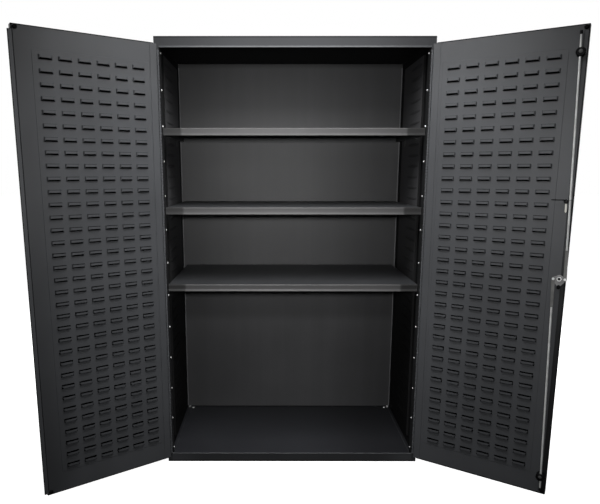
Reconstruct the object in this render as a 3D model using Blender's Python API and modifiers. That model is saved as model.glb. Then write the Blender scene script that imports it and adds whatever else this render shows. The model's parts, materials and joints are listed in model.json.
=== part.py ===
"""Locking shelf cabinet with two louvered doors and a three point lock.

Metres, +Z up, doors towards -Y. The origin is on the ground under the middle of the case.
"""

import math

import bmesh
import bpy
from mathutils import Matrix, Vector
from mathutils.geometry import convex_hull_2d

# Case
CASE_WIDTH = 1.2192
CASE_DEPTH = 0.6096
CASE_HEIGHT = 1.9812
SHEET = 0.0019
GAP = 0.0003  # clearance between pieces that touch
JAMB_FACE = 0.021
JAMB_RETURN = 0.045
REAR_FLANGE = 0.016
HEADER_HEIGHT = 0.047
HEADER_FLANGE = 0.025
SILL_HEIGHT = 0.044
SILL_LEDGE = 0.030
HEM_RISE = 0.012
HEM_SLOT = 0.0006  # space inside a folded hem
FLOOR_HEIGHT = 0.0155
STIFFENER_WIDTH = 0.090
STIFFENER_LIP = 0.020
STIFFENER_SETBACK = 0.012

# Shelves and the clips that carry them
LOWER_SHELF_TOP = 0.885
MIDDLE_SHELF_TOP = 1.246
UPPER_SHELF_TOP = 1.600
SHELF_SHEET = 0.0019
SHELF_LIP = 0.033
SHELF_SETBACK = 0.030
SHELF_REAR_SPACE = 0.014
SHELF_SIDE_CLEARANCE = 0.0013
SLOT_PANEL_SETBACK = 0.150
SLOT_PANEL_DEPTH = 0.360
SLOT_PANEL_STANDOFF = 0.010
SLOT_PANEL_SHEET = 0.0012
SLOT_PANEL_END_SPACE = 0.045
CLIP_SHEET = 0.002
CLIP_WIDTH = 0.040
CLIP_INSET = 0.050
CLIP_LEG = 0.030
CLIP_REACH = 0.022

# Hinges
HINGE_INSET = 0.0183
HINGE_FORWARD = 0.005
HINGE_END_SPACE = 0.002
KNUCKLE_RADIUS = 0.0042
KNUCKLE_COUNT = 7
KNUCKLE_SIDES = 10
HINGE_PIN_RADIUS = 0.002
BORE_CLEARANCE = 0.0004
LEAF_SHEET = 0.0015
CASE_LEAF_DEPTH = 0.044
DOOR_LEAF_WIDTH = 0.034

# Doors
LEFT_OPEN_ANGLE = math.radians(145.76)
RIGHT_OPEN_ANGLE = math.radians(147.73)
DOOR_GAP = 0.010  # between the closed door and the front of the case
DOOR_DEPTH = 0.032
DOOR_SHEET = 0.0015
DOOR_HINGE_SPACE = 0.016
DOOR_TOP_SPACE = 0.0282
DOOR_BOTTOM_SPACE = 0.022
LEFT_EDGE_FROM_MIDDLE = 0.0133
RIGHT_EDGE_FROM_MIDDLE = 0.0053
RETURN_FLANGE = 0.017
LINER_SHEET = 0.0012
LINER_SEAM = 0.0005
BUMPER_RADIUS = 0.011
BUMPER_CROWN = 0.0085
BUMPER_TOP_INSET = 0.012
BUMPER_BOTTOM_INSET = 0.015
LEFT_BUMPER_INSET = 0.016
RIGHT_BUMPER_INSET = 0.0125
STRIP_SHEET = 0.003
STRIP_WIDTH = 0.0162
STRIP_OVERHANG = 0.0122
STRIP_TOP_INSET = 0.022
STRIP_BOTTOM_INSET = 0.010

# Louvers
LOUVER_LENGTH = 0.053
LOUVER_HEIGHT = 0.016
LOUVER_DEPTH = 0.0085
LEFT_LOUVER_PITCH = 0.0746
RIGHT_LOUVER_PITCH = 0.0757
LOUVER_ROW_PITCH = 0.0516
LEFT_LOUVER_MARGIN = 0.0618  # from the hinge axis
RIGHT_LOUVER_MARGIN = 0.0675
LOUVER_FREE_MARGIN = 0.070
LOUVER_TOP_MARGIN = 0.103
LOUVER_BOTTOM_MARGIN = 0.095

# Handle
SPINDLE_HEIGHT = 0.981
SPINDLE_INSET = 0.023
SHANK_SIDE = 0.008
SHANK_ROOT = 0.008
SHANK_HOLE_RADIUS = 0.007
FINGER_GAP = 0.022
LEVER_LENGTH = 0.118
LEVER_PLATE = 0.012
LEVER_HUB_RADIUS = 0.016
LEVER_WAIST_RADIUS = 0.009
LEVER_WAIST_REACH = 0.055
LEVER_TIP_RADIUS = 0.008
ESCUTCHEON_SHEET = 0.004
ESCUTCHEON_RADIUS = 0.024
ESCUTCHEON_DROP = 0.036
ESCUTCHEON_TAIL_RADIUS = 0.017
LOCK_RADIUS = 0.0097
LOCK_DEPTH = 0.015
PLUG_RADIUS = 0.0063
KEYWAY_WIDTH = 0.0022
KEYWAY_HEIGHT = 0.0080
KEYWAY_DEPTH = 0.009

# Latch cam and lock rods
CAM_STANDOFF = 0.014
CAM_SHEET = 0.004
CRANK_RADIUS = 0.021
LOBE_RADIUS = 0.0065
NOSE_REACH = 0.030
NOSE_RADIUS = 0.004
CAM_BACK_REACH = 0.009
CAM_BACK_RADIUS = 0.006
SHOE_RADIUS = 0.00625
SHOE_START = 0.030
SHOE_END = 0.036
SHOE_BACK = 0.0042
SHOE_FRONT = 0.0205
BUSH_RADIUS = 0.011
BUSH_FLANGE_RADIUS = 0.014
BUSH_FLANGE = 0.002
NUT_RADIUS = 0.0095
NUT_HEIGHT = 0.005
PIVOT_RADIUS = 0.003
PIVOT_HEAD_RADIUS = 0.0052
PIVOT_HEAD = 0.0023
ROD_RADIUS = 0.004
ROD_SIDES = 10
ROD_PLAY = 0.0006
FLAT_SHEET = 0.003
FLAT_LENGTH = 0.130
FLAT_END_RADIUS = 0.005
FLAT_OVERLAP = 0.012
FLAT_CLEARANCE = 0.0004
ROD_TOP_ENGAGEMENT = 0.0138
ROD_BOTTOM_ENGAGEMENT = 0.017
TIP_WALL = 0.0007
TIP_LENGTH = 0.014
TIP_END = 0.003
GUIDE_RADIUS = 0.0175
GUIDE_WALL = 0.0025
GUIDE_ROUNDING = 0.003
GUIDE_TOP_INSET = 0.103
GUIDE_BOTTOM_INSET = 0.088
ROD_SWAY = 0.105  # side swing of a rod in its guide, as a share of the crank radius

# Key tied to the upper rod
KEY_HEIGHT = 1.298
TIE_RADIUS = 0.0095
TIE_WIRE = 0.0009
KEY_SHEET = 0.002
KEY_BOW_RADIUS = 0.009
KEY_HOLE_RADIUS = 0.003
KEY_BLADE_LENGTH = 0.043
KEY_BLADE_RADIUS = 0.0035

# Positions that follow from the sizes above
FRONT = -CASE_DEPTH / 2
BACK = CASE_DEPTH / 2
CASE_TOP = CASE_HEIGHT - SHEET - GAP
INNER_HALF_WIDTH = CASE_WIDTH / 2 - SHEET - GAP
OPENING_HALF_WIDTH = CASE_WIDTH / 2 - JAMB_FACE - GAP
HEADER_BOTTOM = CASE_HEIGHT - HEADER_HEIGHT
HEM_DEPTH = 2 * SHEET + HEM_SLOT
BACK_PANEL_FRONT = BACK - 2 * SHEET - GAP
HINGE_X = CASE_WIDTH / 2 - HINGE_INSET
HINGE_Y = FRONT - HINGE_FORWARD
HINGE_BOTTOM = SILL_HEIGHT + HINGE_END_SPACE
HINGE_TOP = HEADER_BOTTOM - HINGE_END_SPACE
FACE_Y = HINGE_FORWARD - DOOR_GAP  # inner face of a closed door, from the hinge axis
DOOR_TOP = CASE_HEIGHT - DOOR_TOP_SPACE
DOOR_BOTTOM = DOOR_BOTTOM_SPACE
LEFT_DOOR_WIDTH = HINGE_X - LEFT_EDGE_FROM_MIDDLE
RIGHT_DOOR_WIDTH = HINGE_X - RIGHT_EDGE_FROM_MIDDLE
SPINDLE_U = RIGHT_DOOR_WIDTH - SPINDLE_INSET
FLAT_BACK = CAM_STANDOFF + CAM_SHEET + FLAT_CLEARANCE
ROD_CENTRE = FLAT_BACK + FLAT_SHEET / 2
UPPER_GUIDE_Z = DOOR_TOP - GUIDE_TOP_INSET
LOWER_GUIDE_Z = DOOR_BOTTOM + GUIDE_BOTTOM_INSET
UPPER_ROD_LENGTH = HEADER_BOTTOM + ROD_TOP_ENGAGEMENT - SPINDLE_HEIGHT - CRANK_RADIUS
LOWER_ROD_LENGTH = SPINDLE_HEIGHT - CRANK_RADIUS - SILL_HEIGHT + ROD_BOTTOM_ENGAGEMENT
LEVER_BACK = -DOOR_DEPTH - FINGER_GAP
LEVER_FRONT = LEVER_BACK - LEVER_PLATE
HUB_BASE = -DOOR_DEPTH - ESCUTCHEON_SHEET - 2 * GAP

PAINT = (0.085, 0.09, 0.095, 1.0)
DARK_PAINT = (0.05, 0.052, 0.055, 1.0)
ZINC = (0.55, 0.56, 0.56, 1.0)
BLACK = (0.012, 0.012, 0.013, 1.0)
RUBBER = (0.02, 0.02, 0.02, 1.0)
BRASS = (0.55, 0.42, 0.2, 1.0)


def clear_scene():
    """Remove every object of the scene."""
    for obj in list(bpy.data.objects):
        bpy.data.objects.remove(obj, do_unlink=True)


def new_collection(name):
    """Add a collection to the scene."""
    collection = bpy.data.collections.new(name)
    bpy.context.scene.collection.children.link(collection)
    return collection


def finish(name, colour, roughness, metallic):
    """Make one Principled material."""
    material = bpy.data.materials.new(name)
    material.use_nodes = True
    shader = material.node_tree.nodes["Principled BSDF"]
    shader.inputs["Base Color"].default_value = colour
    shader.inputs["Roughness"].default_value = roughness
    shader.inputs["Metallic"].default_value = metallic
    return material


FINISHES = {
    "paint": (PAINT, 0.45, 0.0),
    "dark_paint": (DARK_PAINT, 0.5, 0.0),
    "zinc": (ZINC, 0.35, 1.0),
    "plastic": (BLACK, 0.5, 0.0),
    "rubber": (RUBBER, 0.8, 0.0),
    "brass": (BRASS, 0.35, 1.0),
}


class Builder:
    """Holds the two collections and turns shapes into named objects."""

    def __init__(self):
        self.parts = new_collection("locking_shelf_cabinet")
        self.cutters = new_collection("cutters")

    def empty(self, name, location, parent=None, turn=(0, 0, 0)):
        """Add an empty that carries what moves with it."""
        obj = bpy.data.objects.new(name, None)
        obj.location = location
        obj.rotation_euler = turn
        obj.parent = parent
        self.parts.objects.link(obj)
        return obj

    def part(self, name, bm, look, parent=None, smooth=False):
        """Make a named part from a bmesh, with its own material."""
        obj = self._object(name, bm, parent)
        obj.data.materials.append(finish(name, *FINISHES[look]))
        if smooth:
            obj.data.shade_smooth()
            obj.data.set_sharp_from_angle(angle=math.radians(40))
        self.parts.objects.link(obj)
        return obj

    def cutter(self, name, bm, parent=None):
        """Make a shape that only cuts or joins another part."""
        obj = self._object(name, bm, parent)
        obj.hide_render = True
        obj.display_type = "WIRE"
        self.cutters.objects.link(obj)
        return obj

    @staticmethod
    def _object(name, bm, parent):
        mesh = bpy.data.meshes.new(name)
        bm.to_mesh(mesh)
        bm.free()
        obj = bpy.data.objects.new(name, mesh)
        obj.parent = parent
        return obj


def solidify(obj, thickness):
    """Give an open surface its wall, behind the faces that were modelled."""
    modifier = obj.modifiers.new("wall", "SOLIDIFY")
    modifier.thickness = thickness
    modifier.offset = -1
    modifier.use_even_offset = True


def combine(obj, other, operation):
    """Add a Boolean between a part and a helper shape."""
    modifier = obj.modifiers.new(other.name, "BOOLEAN")
    modifier.operation = operation
    modifier.object = other
    modifier.solver = "EXACT"


def add_box(bm, corner, opposite):
    """Add a box between two corners given in any order."""
    corner = Vector(corner)
    opposite = Vector(opposite)
    size = Vector(abs(a - b) for a, b in zip(corner, opposite))
    matrix = Matrix.Translation((corner + opposite) / 2) @ Matrix.Diagonal((*size, 1))
    bmesh.ops.create_cube(bm, size=1, matrix=matrix)


def box(corner, opposite):
    """Return a bmesh with one box."""
    bm = bmesh.new()
    add_box(bm, corner, opposite)
    return bm


def add_cylinder(bm, start, end, radius, sides):
    """Add a capped cylinder between two points."""
    start = Vector(start)
    run = Vector(end) - start
    turn = Vector((0, 0, 1)).rotation_difference(run).to_matrix().to_4x4()
    matrix = Matrix.Translation(start + run / 2) @ turn
    bmesh.ops.create_cone(
        bm, cap_ends=True, segments=sides, radius1=radius, radius2=radius, depth=run.length, matrix=matrix
    )


def cylinder(start, end, radius, sides):
    """Return a bmesh with one cylinder."""
    bm = bmesh.new()
    add_cylinder(bm, start, end, radius, sides)
    return bm


def circle_points(x, y, radius, sides):
    """Points round a circle."""
    angles = (2 * math.pi * i / sides for i in range(sides))
    return [(x + radius * math.cos(a), y + radius * math.sin(a)) for a in angles]


def hull_outline(circles, sides=16):
    """Outline of a band stretched round circles given as (x, y, radius)."""
    points = [p for x, y, radius in circles for p in circle_points(x, y, radius, sides)]
    return [points[i] for i in convex_hull_2d([Vector(p) for p in points])]


def square_points(half):
    """Corners of a square hole."""
    return [(-half, -half), (half, -half), (half, half), (-half, half)]


def outline_plate(loops, thickness, matrix):
    """Return a bmesh of a flat plate from an outline and its holes."""
    curve = bpy.data.curves.new("outline", "CURVE")
    curve.dimensions = "2D"
    curve.fill_mode = "BOTH"
    curve.extrude = thickness / 2
    for points in loops:
        spline = curve.splines.new("POLY")
        spline.points.add(len(points) - 1)
        for target, (x, y) in zip(spline.points, points):
            target.co = (x, y, 0, 1)
        spline.use_cyclic_u = True
    obj = bpy.data.objects.new("outline", curve)
    bpy.context.scene.collection.objects.link(obj)
    graph = bpy.context.evaluated_depsgraph_get()
    mesh = bpy.data.meshes.new_from_object(obj.evaluated_get(graph))
    bpy.data.objects.remove(obj)
    bpy.data.curves.remove(curve)
    bm = bmesh.new()
    bm.from_mesh(mesh)
    bpy.data.meshes.remove(mesh)
    bmesh.ops.remove_doubles(bm, verts=bm.verts[:], dist=1e-6)
    bmesh.ops.transform(bm, matrix=matrix, verts=bm.verts[:])
    bmesh.ops.recalc_face_normals(bm, faces=bm.faces[:])
    return bm


def door_plane(y):
    """Matrix that stands an outline up in the plane of a door, at depth y."""
    return Matrix.Translation((0, y, 0)) @ Matrix.Rotation(math.radians(90), 4, "X")


def bent_sheet(place, path, start, end, material_side):
    """Return an open surface: a folded path swept from start to end.

    place turns (path x, path y, sweep) into a point, and material_side is the direction from
    the first stretch of the path to the side that its wall lies on.
    """
    bm = bmesh.new()
    verts = [bm.verts.new(place(x, y, start)) for x, y in path]
    edges = [bm.edges.new(pair) for pair in zip(verts, verts[1:])]
    swept = bmesh.ops.extrude_edge_only(bm, edges=edges)["geom"]
    moved = [item for item in swept if isinstance(item, bmesh.types.BMVert)]
    bmesh.ops.translate(bm, verts=moved, vec=Vector(place(0, 0, end)) - Vector(place(0, 0, start)))
    bmesh.ops.recalc_face_normals(bm, faces=bm.faces[:])
    bm.faces.ensure_lookup_table()
    first = min(bm.faces, key=lambda f: (f.calc_center_median() - Vector(place(*middle(path), start))).length)
    first.normal_update()
    if first.normal.dot(Vector(material_side)) > 0:
        bmesh.ops.reverse_faces(bm, faces=bm.faces[:])
    return bm


def middle(path):
    """Middle of the first stretch of a path."""
    return [(a + b) / 2 for a, b in zip(path[0], path[1])]


def turned(build, name, profile, look, sides, location, parent=None, inward=True, closed=False):
    """Turn a profile of (radius, height) points, top to bottom, into a round part.

    With inward the axis points into the cabinet of a closed door, otherwise it points up.
    """
    bm = bmesh.new()
    verts = [bm.verts.new((radius, 0, height)) for radius, height in profile]
    pairs = list(zip(verts, verts[1:]))
    if closed:
        pairs.append((verts[-1], verts[0]))
    for pair in pairs:
        bm.edges.new(pair)
    obj = build.part(name, bm, look, parent)
    obj.location = location
    if inward:
        obj.rotation_euler = (math.radians(-90), 0, 0)
    screw = obj.modifiers.new("turn", "SCREW")
    screw.steps = sides
    screw.render_steps = sides
    screw.use_merge_vertices = True
    screw.merge_threshold = 1e-5
    return obj


def from_above(x, y, z):
    """Path in plan, swept upwards."""
    return (x, y, z)


def from_side(y, z, x):
    """Path in side view, swept along X."""
    return (x, y, z)


def from_front(x, z, y):
    """Path in front view, swept along Y."""
    return (x, y, z)


def build_case(build):
    """Side sheets, back, top, header, sill and floor."""
    for name, side in (("left_side", -1), ("right_side", 1)):
        jamb_x = side * (CASE_WIDTH / 2 - JAMB_FACE)
        outer_x = side * CASE_WIDTH / 2
        path = [
            (jamb_x, FRONT + JAMB_RETURN),
            (jamb_x, FRONT),
            (outer_x, FRONT),
            (outer_x, BACK),
            (outer_x - side * REAR_FLANGE, BACK),
        ]
        wall = build.part(name, bent_sheet(from_above, path, 0, CASE_TOP, (side, 0, 0)), "paint")
        solidify(wall, SHEET)

    back_panel = box((-INNER_HALF_WIDTH, BACK_PANEL_FRONT, 0), (INNER_HALF_WIDTH, BACK - SHEET - GAP, CASE_TOP))
    build.part("back_panel", back_panel, "dark_paint")
    top_panel = box((-CASE_WIDTH / 2, FRONT, CASE_HEIGHT - SHEET), (CASE_WIDTH / 2, BACK, CASE_HEIGHT))
    build.part("top_panel", top_panel, "paint")

    header_path = [
        (FRONT + HEADER_FLANGE, CASE_TOP),
        (FRONT, CASE_TOP),
        (FRONT, HEADER_BOTTOM),
        (FRONT + HEM_DEPTH, HEADER_BOTTOM),
        (FRONT + HEM_DEPTH, HEADER_BOTTOM + HEM_RISE),
    ]
    sill_path = [
        (FRONT + SILL_LEDGE, 0),
        (FRONT, 0),
        (FRONT, SILL_HEIGHT),
        (FRONT + HEM_DEPTH, SILL_HEIGHT),
        (FRONT + HEM_DEPTH, SILL_HEIGHT - HEM_RISE),
    ]
    for name, path, material_side in (("header", header_path, (0, 0, -1)), ("sill", sill_path, (0, 0, 1))):
        sheet = bent_sheet(from_side, path, -OPENING_HALF_WIDTH, OPENING_HALF_WIDTH, material_side)
        solidify(build.part(name, sheet, "paint"), SHEET)

    notch_y = FRONT + JAMB_RETURN + GAP
    right_half = [
        (OPENING_HALF_WIDTH, FRONT + SHEET + GAP),
        (OPENING_HALF_WIDTH, notch_y),
        (INNER_HALF_WIDTH, notch_y),
        (INNER_HALF_WIDTH, BACK_PANEL_FRONT - GAP),
    ]
    outline = right_half + [(-x, y) for x, y in reversed(right_half)]
    floor = outline_plate([outline], SHEET, Matrix.Translation((0, 0, FLOOR_HEIGHT - SHEET / 2)))
    build.part("floor_pan", floor, "dark_paint")

    lip = FLOOR_HEIGHT - 2 * SHEET - GAP
    half = STIFFENER_WIDTH / 2
    front_half = [(-half - STIFFENER_LIP, lip), (-half, lip), (-half, 0)]
    channel_path = front_half + [(-y, z) for y, z in reversed(front_half)]
    reach = INNER_HALF_WIDTH - STIFFENER_SETBACK
    channel = bent_sheet(from_side, channel_path, -reach, reach, (0, 0, 1))
    solidify(build.part("floor_stiffener", channel, "dark_paint"), SHEET)


def build_shelves(build):
    """Shelves, the slotted strips on the side walls and the clips between them."""
    strip_face = INNER_HALF_WIDTH - SLOT_PANEL_STANDOFF
    strip_front = FRONT + SLOT_PANEL_SETBACK
    strip_back = strip_front + SLOT_PANEL_DEPTH
    strip_bottom = FLOOR_HEIGHT + SLOT_PANEL_END_SPACE
    strip_top = CASE_TOP - SLOT_PANEL_END_SPACE
    for name, side in (("left_slot_panel", -1), ("right_slot_panel", 1)):
        path = [
            (side * INNER_HALF_WIDTH, strip_front),
            (side * strip_face, strip_front),
            (side * strip_face, strip_back),
            (side * INNER_HALF_WIDTH, strip_back),
        ]
        strip = bent_sheet(from_above, path, strip_bottom, strip_top, (0, 1, 0))
        solidify(build.part(name, strip, "dark_paint"), SLOT_PANEL_SHEET)

    half_width = OPENING_HALF_WIDTH - LEAF_SHEET - SHELF_SIDE_CLEARANCE
    front = FRONT + SHELF_SETBACK
    back = BACK_PANEL_FRONT - SHELF_REAR_SPACE
    clip_x = strip_face - GAP
    clip_rows = {"front": strip_front + CLIP_INSET, "rear": strip_back - CLIP_INSET - CLIP_WIDTH}
    for level, top in (("lower", LOWER_SHELF_TOP), ("middle", MIDDLE_SHELF_TOP), ("upper", UPPER_SHELF_TOP)):
        bm = box((-half_width, front, top - SHELF_LIP), (half_width, back, top))
        lowest = min(bm.faces, key=lambda face: face.calc_center_median().z)
        bmesh.ops.delete(bm, geom=[lowest], context="FACES_ONLY")
        solidify(build.part("shelf_" + level, bm, "paint"), SHELF_SHEET)

        seat = top - SHELF_LIP - GAP
        for wall, side in (("left", -1), ("right", 1)):
            for row, y in clip_rows.items():
                path = [
                    (side * clip_x, seat - CLIP_LEG),
                    (side * clip_x, seat),
                    (side * (clip_x - CLIP_REACH), seat),
                ]
                clip = bent_sheet(from_front, path, y, y + CLIP_WIDTH, (-side, 0, 0))
                solidify(build.part(f"clip_{level}_{wall}_{row}", clip, "zinc"), CLIP_SHEET)


class Door:
    """A door seen in its closed position, carried by an empty on its hinge axis.

    u runs from the hinge axis to the free edge, off from the inner face into the cabinet.
    """

    def __init__(self, build, name, side, width, open_angle):
        self.name = name
        self.side = side
        self.width = width
        turn = (0, 0, side * open_angle)
        self.carrier = build.empty(name + "_door_axis", (side * HINGE_X, HINGE_Y, 0), turn=turn)

    def point(self, u, off, z):
        """Point of the closed door in the frame of its carrier."""
        return (-self.side * u, FACE_Y + off, z)


def build_hinge(build, door):
    """Case leaf, door leaf and pin of one full-height hinge."""
    pitch = (HINGE_TOP - HINGE_BOTTOM) / KNUCKLE_COUNT
    name = door.name
    # Case leaf, in the frame of the closed hinge axis
    axis = build.empty(name + "_hinge_axis", (door.side * HINGE_X, HINGE_Y, 0))
    leaf_x = JAMB_FACE - HINGE_INSET + GAP
    leaf_start = KNUCKLE_RADIUS - LEAF_SHEET / 2
    inward = -door.side
    case_leaf = box(
        (inward * leaf_x, leaf_start, HINGE_BOTTOM),
        (inward * (leaf_x + LEAF_SHEET), HINGE_FORWARD + CASE_LEAF_DEPTH, HINGE_TOP),
    )
    case_tab = [(inward * (leaf_x + s), leaf_start + LEAF_SHEET / 2, 0) for s in (0, LEAF_SHEET)]
    face = FACE_Y + GAP
    door_leaf = box(
        (inward * leaf_start, face, HINGE_BOTTOM), (inward * DOOR_LEAF_WIDTH, face + LEAF_SHEET, HINGE_TOP)
    )
    door_tab = [(inward * (leaf_start + LEAF_SHEET / 2), face + s, 0) for s in (0, LEAF_SHEET)]
    leaves = ((f"{name}_case_leaf", case_leaf, case_tab, axis, 0), (f"{name}_door_leaf", door_leaf, door_tab, door.carrier, 1))
    bore_radius = HINGE_PIN_RADIUS + BORE_CLEARANCE
    for leaf_name, bm, tab, carrier, first in leaves:
        leaf = build.part(leaf_name, bm, "paint", carrier)
        outline = hull_outline([(0, 0, KNUCKLE_RADIUS)] + tab, KNUCKLE_SIDES)
        knuckles = bmesh.new()
        for index in range(first, KNUCKLE_COUNT, 2):
            low = HINGE_BOTTOM + index * pitch
            lift = Matrix.Translation((0, 0, low + pitch / 2))
            knuckle = outline_plate([outline], pitch - GAP, lift)
            mesh = bpy.data.meshes.new("knuckle")
            knuckle.to_mesh(mesh)
            knuckle.free()
            knuckles.from_mesh(mesh)
            bpy.data.meshes.remove(mesh)
        combine(leaf, build.cutter(leaf_name + "_knuckles", knuckles, carrier), "UNION")
        bore = cylinder((0, 0, 0), (0, 0, CASE_HEIGHT), bore_radius, KNUCKLE_SIDES)
        combine(leaf, build.cutter(leaf_name + "_bore", bore, carrier), "DIFFERENCE")
    pin = cylinder((0, 0, HINGE_BOTTOM), (0, 0, HINGE_TOP), HINGE_PIN_RADIUS, KNUCKLE_SIDES)
    build.part(name + "_hinge_pin", pin, "zinc", axis, smooth=True)


def door_pan(build, door):
    """Outer skin folded round four edges, with a narrow return flange."""
    bm = box(door.point(DOOR_HINGE_SPACE, -DOOR_DEPTH, DOOR_BOTTOM), door.point(door.width, 0, DOOR_TOP))
    inner = max(bm.faces, key=lambda face: face.calc_center_median().y)
    bmesh.ops.inset_region(bm, faces=[inner], thickness=RETURN_FLANGE, use_even_offset=True)
    bmesh.ops.delete(bm, geom=[inner], context="FACES_ONLY")
    pan = build.part(door.name + "_door_pan", bm, "paint", door.carrier)
    solidify(pan, DOOR_SHEET)
    return pan


def louver_lines(first, length, pitch, last):
    """Starts and ends of as many louvers as fit between first and last."""
    count = int((last - first - length) / pitch) + 1
    starts = [first + pitch * i for i in range(count)]
    return [value for start in starts for value in (start, start + length)]


def louver_liner(build, door, margin, pitch):
    """Inner sheet with rows of louvers, each a hood pushed out of the sheet and slit along its top."""
    u_low = DOOR_HINGE_SPACE + RETURN_FLANGE + LINER_SEAM
    u_high = door.width - RETURN_FLANGE - LINER_SEAM
    z_low = DOOR_BOTTOM + RETURN_FLANGE + LINER_SEAM
    z_high = DOOR_TOP - RETURN_FLANGE - LINER_SEAM
    columns = louver_lines(margin, LOUVER_LENGTH, pitch, door.width - LOUVER_FREE_MARGIN)
    rows = louver_lines(LOUVER_TOP_MARGIN, LOUVER_HEIGHT, LOUVER_ROW_PITCH, DOOR_TOP - DOOR_BOTTOM - LOUVER_BOTTOM_MARGIN)
    u_lines = [u_low] + columns + [u_high]
    z_lines = [z_low] + [DOOR_TOP - drop for drop in reversed(rows)] + [z_high]

    bm = bmesh.new()
    bmesh.ops.create_grid(bm, x_segments=len(u_lines) - 1, y_segments=len(z_lines) - 1, size=0.5)
    for vert in bm.verts:
        i = round((vert.co.x + 0.5) * (len(u_lines) - 1))
        j = round((vert.co.y + 0.5) * (len(z_lines) - 1))
        vert.co = door.point(u_lines[i], 0, z_lines[j])
    hood_tops = set(z_lines[2:-1:2])
    cells = [face for face in bm.faces if is_louver_cell(face, columns, z_lines, door)]
    raised = bmesh.ops.extrude_face_region(bm, geom=cells)["geom"]
    bmesh.ops.delete(bm, geom=cells, context="FACES_ONLY")
    for vert in (item for item in raised if isinstance(item, bmesh.types.BMVert)):
        if min(abs(vert.co.z - top) for top in hood_tops) < GAP:
            vert.co.y += LOUVER_DEPTH
    level = [face for face in bm.faces if max(v.co.z for v in face.verts) - min(v.co.z for v in face.verts) < GAP]
    bmesh.ops.delete(bm, geom=level, context="FACES_ONLY")
    bmesh.ops.remove_doubles(bm, verts=bm.verts[:], dist=1e-6)
    bmesh.ops.recalc_face_normals(bm, faces=bm.faces[:])
    bm.faces.ensure_lookup_table()
    corner = min(bm.faces, key=lambda face: face.calc_center_median().z)
    if corner.normal.y < 0:
        bmesh.ops.reverse_faces(bm, faces=bm.faces[:])
    liner = build.part(door.name + "_louver_liner", bm, "paint", door.carrier)
    solidify(liner, LINER_SHEET)
    return liner


def is_louver_cell(face, columns, z_lines, door):
    """True for a grid cell that lies inside a louver."""
    centre = face.calc_center_median()
    u = -door.side * centre.x
    in_column = any(a < u < b for a, b in zip(columns[::2], columns[1::2]))
    in_row = any(a < centre.z < b for a, b in zip(z_lines[1:-1:2], z_lines[2:-1:2]))
    return in_column and in_row


def build_bumpers(build, door, inset):
    """Rubber stops near the free corners of a door."""
    height = DOOR_GAP - 2 * GAP
    shoulder = height * 0.6
    profile = [(0, height), (BUMPER_CROWN, height), (BUMPER_RADIUS, shoulder), (BUMPER_RADIUS, 0), (0, 0)]
    for where, z in (("top", DOOR_TOP - BUMPER_TOP_INSET), ("bottom", DOOR_BOTTOM + BUMPER_BOTTOM_INSET)):
        place = door.point(door.width - inset, GAP, z)
        turned(build, f"{door.name}_bumper_{where}", profile, "rubber", 16, place, door.carrier)


def build_left_door(build):
    """Left door with the strip that the latch nose goes behind."""
    door = Door(build, "left", -1, LEFT_DOOR_WIDTH, LEFT_OPEN_ANGLE)
    build_hinge(build, door)
    door_pan(build, door)
    louver_liner(build, door, LEFT_LOUVER_MARGIN, LEFT_LOUVER_PITCH)
    build_bumpers(build, door, LEFT_BUMPER_INSET)
    outer = door.width + STRIP_OVERHANG
    strip = box(
        door.point(outer - STRIP_WIDTH, GAP, DOOR_BOTTOM + STRIP_BOTTOM_INSET),
        door.point(outer, GAP + STRIP_SHEET, DOOR_TOP - STRIP_TOP_INSET),
    )
    build.part("astragal_strip", strip, "paint", door.carrier)


def build_right_door(build):
    """Right door with the guides and bearings of its lock."""
    door = Door(build, "right", 1, RIGHT_DOOR_WIDTH, RIGHT_OPEN_ANGLE)
    build_hinge(build, door)
    pan = door_pan(build, door)
    liner = louver_liner(build, door, RIGHT_LOUVER_MARGIN, RIGHT_LOUVER_PITCH)
    build_bumpers(build, door, RIGHT_BUMPER_INSET)

    hole = cylinder(
        door.point(SPINDLE_U, -DOOR_DEPTH - DOOR_SHEET, SPINDLE_HEIGHT),
        door.point(SPINDLE_U, DOOR_SHEET, SPINDLE_HEIGHT),
        SHANK_HOLE_RADIUS,
        16,
    )
    hole = build.cutter("spindle_hole", hole, door.carrier)
    combine(pan, hole, "DIFFERENCE")
    combine(liner, hole, "DIFFERENCE")

    build_guides(build, door)
    top = CAM_STANDOFF - 2 * GAP
    bore = SHANK_SIDE / math.sqrt(2) + 2 * GAP
    profile = [
        (bore, top),
        (BUSH_RADIUS, top),
        (BUSH_RADIUS, BUSH_FLANGE),
        (BUSH_FLANGE_RADIUS, BUSH_FLANGE),
        (BUSH_FLANGE_RADIUS, 0),
        (bore, 0),
    ]
    place = door.point(SPINDLE_U, GAP, SPINDLE_HEIGHT)
    turned(build, "spindle_bush", profile, "zinc", 16, place, door.carrier, closed=True)

    circles = [(0, 0, ESCUTCHEON_RADIUS), (0, -ESCUTCHEON_DROP, ESCUTCHEON_TAIL_RADIUS)]
    loops = [hull_outline(circles, 20), circle_points(0, 0, SHANK_HOLE_RADIUS, 16)]
    spindle_x, _, spindle_z = door.point(SPINDLE_U, 0, SPINDLE_HEIGHT)
    lift = Matrix.Translation((spindle_x, FACE_Y - DOOR_DEPTH - GAP - ESCUTCHEON_SHEET / 2, spindle_z))
    plate = outline_plate(loops, ESCUTCHEON_SHEET, lift @ door_plane(0))
    build.part("handle_escutcheon", plate, "plastic", door.carrier)
    return door


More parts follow.
